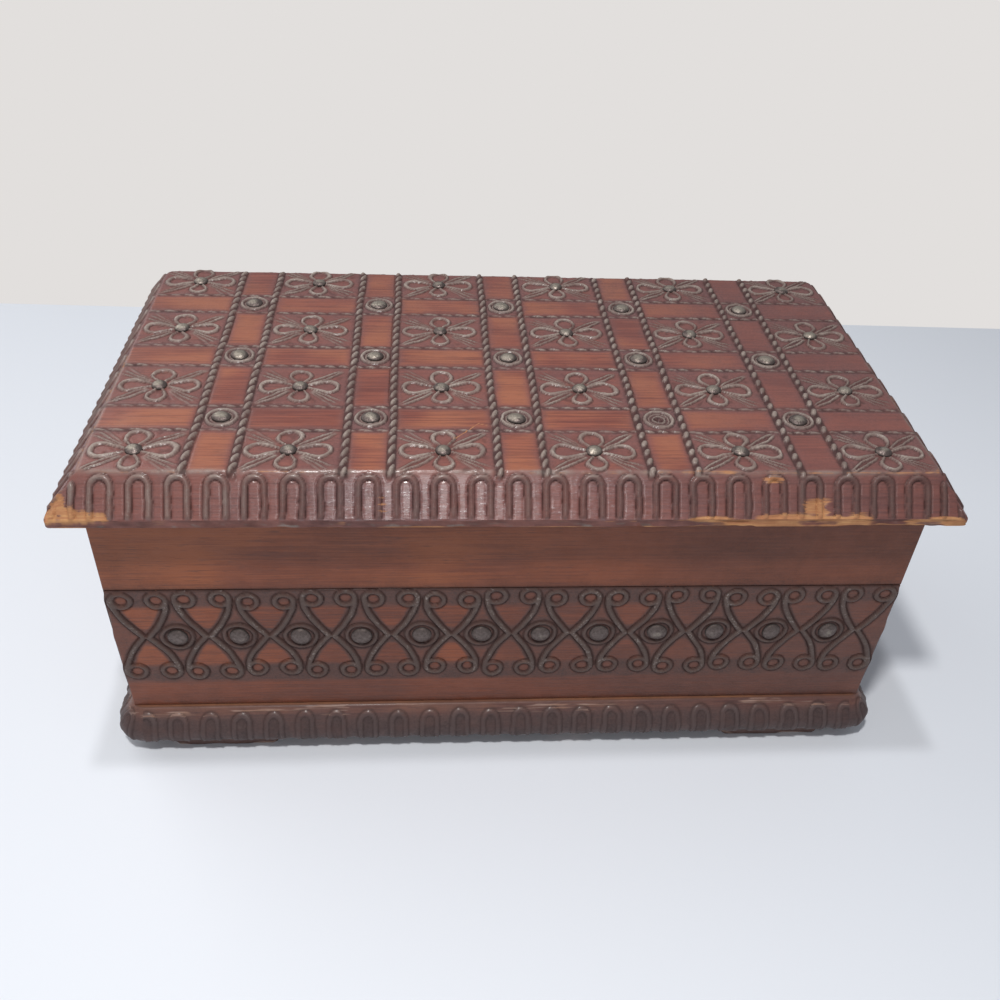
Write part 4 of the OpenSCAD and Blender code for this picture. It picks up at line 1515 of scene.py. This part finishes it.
    def masks(self, carving: Carving, ground: dict[str, Array], face: Array, s: Array, z: Array,
              near_edge: Array, near_end: Array) -> dict[str, Array]:
        """Masks of the whole board, from the carving, soiling, painted shade and wear.

        Args:
            carving: The finished carving.
            ground: Stain of the outer face.
            face: 0 on the inner face, 1 on top, 2 on the outer face and 3 underneath.
            s: Place along the board.
            z: Height.
            near_edge: Distance from the nearer edge.
            near_end: Distance from the nearer end.

        Returns:
            Values of each mask but glaze, which is 0 here.
        """
        # Painted shade on the front: less of the bright stain towards the right; other sides lose a fixed
        # share.
        fade = ease(s, -40.0, 90.0) if self.side is Side.FRONT else 0.4
        outer, end = face == 2, near_end < 0.02
        bare = np.where(outer, 0.0, np.where(face == 0, 1.0, 0.9))
        gap = 0.9 * bell(np.abs(z - SEAM_MIDDLE), 0.55)
        soil = most(ground["grime"], self.soil(s, z))
        wear = np.where(end, 0.2, self.wear(s, z, near_edge, near_end))
        return {"line": carving.line * outer, "groove": most(carving.dark(), gap) * outer,
                "grime": np.where(outer, soil, np.where(end, 0.7, 0.25)),
                "bright": np.where(end, 0.5, ground["bright"] * (1 - 0.75 * fade) * outer),
                "wear": wear * outer, "bare": np.where(end, 0.0, bare)}

    def soil(self, s: Array, z: Array) -> Array:
        """Soiling over a plain face, painted shade along its top and bottom edges, and on the front
        painted shade towards the right.
        """
        # Painted shade on the front, darker towards the right.
        right = 0.25 * ease(s, 0.0, 70.0) * (self.side is Side.FRONT)
        # Darker along the top and bottom edges: painted shade under the overhang and at the joints; the rest
        # is soiling.
        return unit(0.4 * bell(z - self.bottom, 2.2) + 0.3 * bell(self.top - z, 1.4) + 0.1 + right
                    + 0.22 * cloud(s, z, 18.0, self.seed + 41))

    def wear(self, s: Array, z: Array, near_edge: Array, near_end: Array) -> Array:
        """Rubbed arrises, worn through here and there.

        Args:
            s: Place along the board.
            z: Height.
            near_edge: Distance from the nearer edge.
            near_end: Distance from the nearer end.

        Returns:
            The wear mask.
        """
        rough = cloud(s, z, 11.0, self.seed + 51) + 0.4 * cloud(s, z, 2.5, self.seed + 54)
        at_seam = np.abs(z - SEAM_MIDDLE) < 2.0
        edges = bell(near_edge, 0.45) * np.where(at_seam, 0.12 + 0.38 * rough, 0.3 + 0.45 * rough)
        ends = bell(near_end, 0.6) * (0.25 + 0.5 * rough) * float(self.side.long)
        return unit(most(edges, ends))


def build_case(finishes: Finishes) -> None:
    """Makes the four carved walls of the case, each standing for its node.

    Args:
        finishes: The box's finishes.
    """
    for number, side in enumerate(Side):
        edge = HingeEdge.TOP if side is Side.BACK else HingeEdge.NONE
        name = f"{side.value}_wall"
        board = Board(f"{name}_carved", side, CASE_BOTTOM, CASE_TOP, edge, True, 3.0 + 7.1 * number)
        dress(board.make(), finishes.wall_x if side.long else finishes.wall_y, "case", [name])


def build_rails(finishes: Finishes) -> None:
    """Makes the four plain rails under the lid board, each standing for its node.

    Args:
        finishes: The box's finishes.
    """
    for number, side in enumerate(Side):
        edge = HingeEdge.BOTTOM if side is Side.BACK else HingeEdge.NONE
        name = f"lid_{side.value}_rail"
        board = Board(f"{name}_wood", side, SKIRT_BOTTOM, SKIRT_TOP, edge, False, 61.0 + 5.3 * number)
        dress(board.make(), finishes.rail_x if side.long else finishes.rail_y, "lid", [name])


# Base and feet

@dataclass(frozen=True)
class BaseBoard:
    """Base board with a moulding of a roll and a slope, carved with arches all round."""

    half_w: float = 119.0
    half_d: float = 64.0
    corner: float = 9.0
    bottom: float = 4.0
    height: float = 12.0
    roll: float = 4.2
    top_reach: float = 4.4
    arch_pitch: float = 9.5
    arch_r: float = 2.3
    arch_w: float = 1.6
    step: float = 0.42
    at_corner: float = 1000.0

    def profile(self) -> tuple[Array, Array, Array, Array]:
        """Moulding from the bottom to the top, and its outward direction.

        The roll is part of a circle, from straight down to the tangent of the slope, which then
        runs straight to the top edge.

        Returns:
            Reach from the corner's middle, height, and the two parts of the direction outwards.
        """
        middle = self.corner - self.roll
        dx, dz = self.top_reach - middle, self.height - self.roll
        touch = math.atan2(dz, dx) - math.acos(self.roll / math.hypot(dx, dz))
        angle = np.linspace(-math.pi / 2, touch, 26)
        circle = np.stack([middle + self.roll * np.cos(angle), self.roll + self.roll * np.sin(angle)])
        end = np.array([[self.top_reach - 0.25], [self.height]])
        share = np.linspace(0, 1, 20)[1:]
        slope = circle[:, -1:] * (1 - share) + end * share
        out = np.concatenate([np.cos(angle), np.full(len(share), math.cos(touch))])
        up = np.concatenate([np.sin(angle), np.full(len(share), math.sin(touch))])
        q, z = np.concatenate([circle, slope], axis=1)
        return q, z, out, up

    def outline(self) -> Array:
        """Walks round the board: middle points, outward directions and the length walked.

        Each side is straight, and each corner a quarter turn about its middle, whose length is
        taken where the roll is widest.

        Returns:
            Five rows: X and Y of the middles, X and Y of the directions, and the length along a
            side or a corner, with the sides' middles at 0 and the corners' far from them.
        """
        hx, hy = self.half_w - self.corner, self.half_d - self.corner
        parts = []
        sides = (((-hx, -hy), (hx, -hy), (0, -1)), ((hx, -hy), (hx, hy), (1, 0)),
                 ((hx, hy), (-hx, hy), (0, 1)), ((-hx, hy), (-hx, -hy), (-1, 0)))
        for (x0, y0), (x1, y1), (nx, ny) in sides:
            length = abs(x1 - x0) + abs(y1 - y0)
            t = stations((-length / 2, length / 2), (self.step,))
            share = t / length + 0.5
            parts.append([x0 + (x1 - x0) * share, y0 + (y1 - y0) * share, nx + 0 * t, ny + 0 * t, t])
            turn = math.atan2(ny, nx) + np.linspace(0, math.pi / 2, 34)[1:-1]
            arc = self.at_corner + (turn - turn.mean()) * 8.4
            parts.append([x1 + 0 * turn, y1 + 0 * turn, np.cos(turn), np.sin(turn), arc])
        return np.concatenate([np.stack(part) for part in parts], axis=1)

    def off_arch(self, t: Array, nx: Array) -> Array:
        """Offset from the nearest arch, with one arch on each corner and none beside it.

        Args:
            t: Length along a side or a corner.
            nx: X of the direction outwards.

        Returns:
            The offset along the outline.
        """
        count = np.where(np.abs(nx) > 0.5, int((self.half_d * 2 - 18) / self.arch_pitch),
                         int((self.half_w * 2 - 18) / self.arch_pitch))
        odd = count % 2 * self.arch_pitch / 2
        off = (t - odd + self.arch_pitch / 2) % self.arch_pitch - self.arch_pitch / 2
        near = np.where(np.abs(t) < count / 2 * self.arch_pitch + 3.4, off, 9.0)
        return np.where(t > self.at_corner / 2, t - self.at_corner, near)

    def build(self, finishes: Finishes) -> None:
        """Makes the board.

        Args:
            finishes: The box's finishes.
        """
        x, y, nx, ny, t = (v[None] for v in self.outline())
        q, z, out, up = (v[:, None] for v in self.profile())
        off = self.off_arch(t, nx)
        place, tall = x * 1.0 + y * 1.7 + 0 * z, z + 0 * x
        wave = 0.22 * blotches(place, tall, 4.0, 3) + 0.12 * blotches(place, tall, 1.7, 4)
        over = tall - (self.height - 1.2 - self.arch_r - self.arch_w / 2)
        above, clear = np.clip(over, 0, None), ease(tall, 0.3, 1.6)
        bent = np.clip(over + 0.3 * blotches(place, 0 * place, 7, 8), 0, None)
        carving = Carving(tall.shape)
        carving.stroke(np.abs(np.hypot(off + wave, bent) - self.arch_r), self.arch_w, 0.42, WHOLE, 0.22, 0.45,
                       clear)
        tongue = within(np.hypot(off + wave, above), self.arch_r * 0.6, self.arch_r)
        pad = tongue * (0.3 + 0.16 * blotches(place, tall, 1.3, 31)) * clear
        lift = most(carving.height(), pad) * ease(self.height - tall, 0.0, 0.5)
        uneven, upper = cloud(place, tall * 2, 9.0, 15), ease(tall, 7.2, 11.0)
        lift = lift + 0.12 * uneven + 0.09 * (1 - upper) * blotches(place, tall * 0.3, 0.8, 41)
        reach = q + out * lift
        points = np.stack([x + nx * reach, y + ny * reach,
                           self.bottom + np.clip(z + up * lift, 0, self.height)], axis=-1)
        filled = within(np.hypot(off, above), self.arch_r * 0.5, self.arch_r) * within(tall, 9.5, 11.0)
        ledge = upper * (1 - filled)
        top_rub = bell(self.height - tall, 0.9) * (0.55 + 0.6 * cloud(place, tall, 8.0, 19))
        foot_rub = bell(tall, 1.6) * (0.25 + 0.5 * cloud(place, tall, 12.0, 23))
        rubbed = ledge * ease(cloud(place * 0.12, tall * 1.6, 1.6, 43), -0.1, 0.3)
        masks = {"line": carving.line * (0.3 + 0.55 * unit(cloud(place, tall, 5.0, 33))),
                 "groove": most(carving.dark() * 0.8, 0.35 * filled, 0.18 * (1 - upper)),
                 "grime": unit(0.9 - 0.65 * ledge + 0.25 * uneven), "bright": 0.75 * ledge,
                 "wear": most(0.2 * top_rub, foot_rub, 0.5 * rubbed)}
        solid = Solid("base_board_moulded")
        solid.sheet(points, masks, ring=True)
        for row, inset, level in ((0, 1.2, 0.0), (-1, 0.9, self.height)):
            inner = points[row].copy()
            inner[:, 0] -= nx[0] * inset
            inner[:, 1] -= ny[0] * inset
            inner[:, 2] = self.bottom + level
            plain = {"bare": np.array([[0.0], [1.0]]), "groove": 0.45, "grime": 0.5}
            solid.cap(solid.sheet(np.stack([points[row], inner]), plain, ring=True)[1])
        dress(solid.build(60.0), finishes.base, "case", ["base_board"])


@dataclass(frozen=True)
class Feet:
    """Four low feet, rounded in plan, with their lower edges chipped."""

    width: float = 33.0
    depth: float = 18.0
    height: float = 4.0
    corner: float = 3.0
    at_x: float = 87.0
    at_y: float = 51.7
    sole_inset: float = 1.2

    def build(self, finishes: Finishes) -> None:
        """Makes each foot: its outline carried down, drawn in where it is chipped.

        Args:
            finishes: The box's finishes.
        """
        angle = np.linspace(0, 2 * np.pi, 120, endpoint=False)
        c, s = np.cos(angle), np.sin(angle)
        hx, hy, r = self.width / 2 - self.corner, self.depth / 2 - self.corner, self.corner
        ox, oy = np.clip(c * 40, -hx, hx) + r * c, np.clip(s * 30, -hy, hy) + r * s
        out_x, out_y = ox / np.hypot(ox, oy), oy / np.hypot(ox, oy)
        z = np.array([self.height, 3.2, 2.4, 1.7, 1.1, 0.7, 0.35, 0.12, 0.0])[:, None]
        for number, (side, end) in enumerate(((-1, -1), (1, -1), (-1, 1), (1, 1))):
            name = f"foot_{'front' if end < 0 else 'back'}_{'left' if side < 0 else 'right'}"
            x, y = side * self.at_x + ox[None] + 0 * z, end * self.at_y + oy[None] + 0 * z
            chip = unit(cloud(x + y * 1.3, z * 3, 7.0, 91 + number) + 0.2)
            draw = rounding(z, 0.5) + 0.7 * chip * within(z, 0.2, 2.2)
            wear = unit(chip * within(z, 0.4, 2.6) * 1.5)
            rows = np.stack([x - out_x * draw, y - out_y * draw, z + 0 * x], axis=-1)
            solid = Solid(f"{name}_worn")
            solid.cap(solid.sheet(rows, {"wear": wear, "grime": 0.6, "bare": 0.15}, ring=True)[0])
            sole = rows[-1].copy()
            sole[:, 0] -= out_x * self.sole_inset
            sole[:, 1] -= out_y * self.sole_inset
            masks = {"wear": np.stack([wear[-1], 0 * ox]), "grime": 0.6, "bare": 0.4}
            solid.cap(solid.sheet(np.stack([rows[-1], sole]), masks, ring=True)[-1])
            dress(solid.build(50.0), finishes.base, "case", [name])


# Tacks and hinges

@dataclass(frozen=True)
class Tacks:
    """A group of domed tacks, each a little different in size, lean and shape."""

    name: str
    places: Array
    radius: float
    side: Optional[Side] = None
    seed: int = 1
    polish: float = 1.0
    dome: float = 1.5
    rim: float = 0.25
    roundness: float = 0.62
    dent: float = 0.07
    sink: float = 0.4

    def make(self) -> bpy.types.Object:
        """Makes all heads of the group in one mesh.

        A head is a dome over a low rim. Over the rim it rises as (1 - r^2) to the power of its
        roundness, with r from 0 to 1, and it has shallow dents from the hammer.

        Returns:
            The object.
        """
        dice = np.random.default_rng(self.seed)
        solid = Solid(self.name)
        share = np.array([0.0, 0.18, 0.36, 0.54, 0.7, 0.84, 0.93, 0.98, 1.0, 1.0, 0.96])[:, None]
        angle = np.linspace(0, 2 * np.pi, 28, endpoint=False)[None]
        # The groove mask paints the foot of each head dark: painted shade where it meets the wood.
        masks = {"wear": unit(1.15 - share) * self.polish, "groove": ease(share, 0.9, 1.0) * 0.8}
        for number, (a, b) in enumerate(self.places):
            size = self.radius * dice.uniform(0.93, 1.0)
            oval = 1 + dice.uniform(-0.06, 0.06) * np.cos(2 * angle + dice.uniform(0, 6))
            u, v = size * oval * share * np.cos(angle), size * oval * share * np.sin(angle)
            rise = self.dome * dice.uniform(0.86, 0.95) - self.rim
            lift = rise * unit(1 - share ** 2) ** self.roundness + self.rim
            lift = lift + (u * dice.uniform(-0.05, 0.05) + v * dice.uniform(-0.05, 0.05))
            lift = lift - self.dent * unit(blotches(u, v, size * 0.5, number + self.seed))
            lift[-2], lift[-1] = 0.02, -self.sink
            points = (np.stack([u + a, v + b, LID_TOP + lift], axis=-1) if self.side is None
                      else self.side.place(u + a, lift, v + b))
            solid.cap(solid.sheet(points, masks, ring=True)[-1])
        return solid.build(55.0)


def build_lid_tacks(board: LidBoard, finishes: Finishes) -> None:
    """Makes the tacks on the lid's flowers and crossings.

    Args:
        board: The lid board, which knows their places.
        finishes: The box's finishes.
    """
    flowers = np.array(list(product(board.flower_xs, board.flower_ys)))
    crossings = np.array([at for at in product(board.columns, board.rows) if at != board.lost])
    for name, places, radius, seed in (("flower_tacks", flowers, 2.4, 11),
                                       ("crossing_tacks", crossings, 2.75, 12)):
        piece = Tacks(f"{name}_domed", places, radius, seed=seed).make()
        dress(piece, finishes.tack, "lid", [name])


def build_band_tacks(finishes: Finishes) -> None:
    """Makes the tacks in the case's scroll band, by side.

    Args:
        finishes: The box's finishes.
    """
    for number, side in enumerate(Side):
        board = Board("", side, CASE_BOTTOM, CASE_TOP)
        count = round(board.length / board.pitch)
        s = (np.arange(1, count) - count / 2) * board.length / count
        z = BAND_MIDDLE + 0.2 * np.sin(np.arange(count - 1) * 1.7)
        places = np.stack([s, z], axis=1)
        piece = Tacks(f"{side.value}_tacks_domed", places, 3.0, side, 21 + number, 0.28).make()
        dress(piece, finishes.tack, "case", [f"{side.value}_tacks"])


@dataclass(frozen=True)
class Hinges:
    """The two small hinges: leaves and pins from the CAD model, and slotted screws."""

    screw_x: float = 7.2
    screw_y: float = 52.4
    head_r: float = 1.2
    head_sink: float = 0.02
    slot_half: float = 0.19
    slot_reach: float = 1.15
    slot_depth: float = 0.3

    def build(self, finishes: Finishes) -> None:
        """Gives the CAD nodes their brass, and makes the screws' slotted heads.

        Args:
            finishes: The box's finishes.
        """
        for hand, sign in (("left", -1), ("right", 1)):
            for node in (f"{hand}_hinge_case_leaf", f"{hand}_hinge_lid_leaf", f"{hand}_hinge_pin"):
                self.coat(node, finishes.brass)
            for body, level, up in (("case", CASE_TOP, 1), ("lid", SKIRT_BOTTOM, -1)):
                name = f"{hand}_hinge_{body}_screws"
                solid = Solid(f"{name}_slotted")
                for offset in (-self.screw_x, self.screw_x):
                    self.screw(solid, sign * HINGE_X + offset, level, up, offset + sign + level)
                dress(solid.build(40.0), finishes.brass, body, [name])

    @staticmethod
    def coat(node: str, material: bpy.types.Material) -> None:
        """Puts a material on every object of a CAD node.

        Args:
            node: Name of the node.
            material: The material.
        """
        for piece in bpy.data.objects:
            if piece.type != "MESH" or not (piece.name == node or piece.name.startswith(node + ".")):
                continue
            for slot in piece.material_slots:
                slot.material = material
            if not piece.material_slots:
                piece.data.materials.append(material)

    def screw(self, solid: Solid, x: float, level: float, up: int, turn: float) -> None:
        """Adds one countersunk screw.

        The head is a square grid drawn into a disc, with a slot cut across it. Its cone and its
        shank are rings under it.

        Args:
            solid: The solid that the screw joins.
            x: X of its middle.
            level: Height of the face it is sunk in.
            up: 1 where its head looks up and -1 where it looks down.
            turn: Angle of its slot.
        """
        line = np.array([-1, -0.8, -0.6, -0.42, -0.24, -0.17, -0.13, 0, 0.13, 0.17, 0.24, 0.42, 0.6, 0.8, 1])
        a, b = np.meshgrid(line, np.linspace(-1, 1, 13))
        squeeze = np.maximum(np.abs(a), np.abs(b)) / np.maximum(np.hypot(a, b), 1e-9)
        u, v = self.head_r * a * squeeze, self.head_r * b * squeeze
        slot = (np.abs(u) < self.slot_half) * (np.hypot(u, v) < self.slot_reach)
        c, s = math.cos(turn), math.sin(turn)
        middle = np.array([x, self.screw_y])
        head = np.stack([x + u * c - v * s, self.screw_y + u * s + v * c,
                         level - up * (self.head_sink + self.slot_depth * slot)], axis=-1)
        # The groove mask paints the slot dark: painted shade with soiling.
        solid.sheet(head, {"groove": slot * 1.0, "wear": 0.6})
        rim = border(head)
        rows = [rim]
        for radius, drop in ((0.66, 0.56), (0.62, 5.0), (0.2, 5.7)):
            ring = rim.copy()
            ring[:, :2] = middle + (rim[:, :2] - middle) * radius / self.head_r
            ring[:, 2] = level - up * drop
            rows.append(ring)
        solid.cap(solid.sheet(np.stack(rows), {"groove": 0.3}, ring=True)[-1])


# Table, light and camera

@dataclass(frozen=True)
class Studio:
    """Pale table, soft light and the photograph's camera."""

    camera_at: Place = (-25.565, -259.238, 253.025)
    right: Place = (0.99697, -0.06143, 0.04772)
    forward: Place = (0.07779, 0.78430, -0.61549)
    lens: float = 35.27
    far_edge: float = 228.0
    table_half: float = 2500.0
    table_slant: float = 60.0

    def build(self) -> None:
        """Makes the table, the light and the camera."""
        self.table()
        self.sky()
        self.lamp("window", (-760, 500, 600), (-40, 0, 40), 0.9, 3.6, (1.0, 0.99, 0.97))
        self.lamp("ceiling", (-60, -37, 950), (0, 0, 0), 0.05, 1.85, (0.98, 0.99, 1.0))
        self.lamp("fill", (-20, -745, 684), (-20, -60, 95), 0.2, 0.6, (1.0, 0.99, 0.98))
        self.lamp("key", (-90, -270, 640), (0, 0, 60), 0.05, 2.5, (1.0, 0.985, 0.96))
        self.camera()

    def table(self) -> None:
        """Lays a smooth pale table top whose far edge crosses the view behind the box."""
        half = self.table_half
        near, far = self.far_edge - self.table_slant, self.far_edge + self.table_slant
        corners = np.array([(-half, -half, 0), (half, -half, 0), (half, near, 0), (-half, far, 0)]) * MM
        mesh = bpy.data.meshes.new("table")
        mesh.from_pydata(corners.tolist(), [], [(0, 1, 2, 3)])
        table = bpy.data.objects.new("table", mesh)
        bpy.context.scene.collection.objects.link(table)
        made, desk, shader = new_material("table_white")
        desk.join(shader, {"Base Color": paint((226, 230, 237)), "Roughness": 0.6})
        mesh.materials.append(made)

    @staticmethod
    def sky() -> None:
        """Lights the scene softly from everywhere, and shows a pale backdrop."""
        world = bpy.data.worlds.new("room")
        bpy.context.scene.world = world
        world.use_nodes = True
        desk = Desk(world.node_tree)
        path = desk.node("LightPath").outputs
        seen = desk.larger(path["Is Camera Ray"], path["Is Transmission Ray"])
        colour = desk.mix(seen, (0.24, 0.25, 0.27, 1.0), paint((226, 223, 221)))
        desk.join(world.node_tree.nodes["Background"], {"Color": colour, "Strength": 1.0})

    @staticmethod
    def lamp(name: str, at: Place, towards: Place, size: float, power: float, colour: Place) -> None:
        """Hangs a square soft lamp.

        Args:
            name: Name of the lamp.
            at: Its place in millimetres.
            towards: The point it faces.
            size: Its side in metres.
            power: Its power in watts.
            colour: Its colour.
        """
        data = bpy.data.lights.new(name, "AREA")
        data.shape, data.size, data.energy, data.color = "SQUARE", size, power, colour
        lamp = bpy.data.objects.new(name, data)
        lamp.location = np.array(at) * MM
        aim = (np.array(towards) - np.array(at)) * MM
        lamp.rotation_euler = Vector(aim).to_track_quat("-Z", "Y").to_euler()
        bpy.context.scene.collection.objects.link(lamp)

    def camera(self) -> None:
        """Sets the camera where the photograph was taken from."""
        data = bpy.data.cameras.new("photograph")
        data.lens, data.sensor_width, data.sensor_fit = self.lens, 36.0, "HORIZONTAL"
        data.clip_start, data.clip_end = 0.01, 20.0
        camera = bpy.data.objects.new("photograph", data)
        right, forward = np.array(self.right), np.array(self.forward)
        forward = forward / np.linalg.norm(forward)
        right = right - forward * (right @ forward)
        right = right / np.linalg.norm(right)
        matrix = np.eye(4)
        matrix[:3, 0], matrix[:3, 1], matrix[:3, 2] = right, np.cross(right, forward), -forward
        matrix[:3, 3] = np.array(self.camera_at) * MM
        camera.matrix_world = Matrix(matrix.tolist())
        bpy.context.scene.collection.objects.link(camera)
        bpy.context.scene.camera = camera


def main() -> None:
    """Builds the box in order, lights it and sets the camera."""
    logging.basicConfig(level=logging.INFO, format="%(name)s: %(message)s")
    scene = bpy.context.scene
    scene.view_settings.view_transform = "Standard"
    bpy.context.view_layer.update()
    finishes = Finishes()
    board = LidBoard()
    board.build(finishes)
    build_rails(finishes)
    build_case(finishes)
    BaseBoard().build(finishes)
    Feet().build(finishes)
    build_lid_tacks(board, finishes)
    build_band_tacks(finishes)
    Hinges().build(finishes)
    Studio().build()


if __name__ == "__main__":
    main()
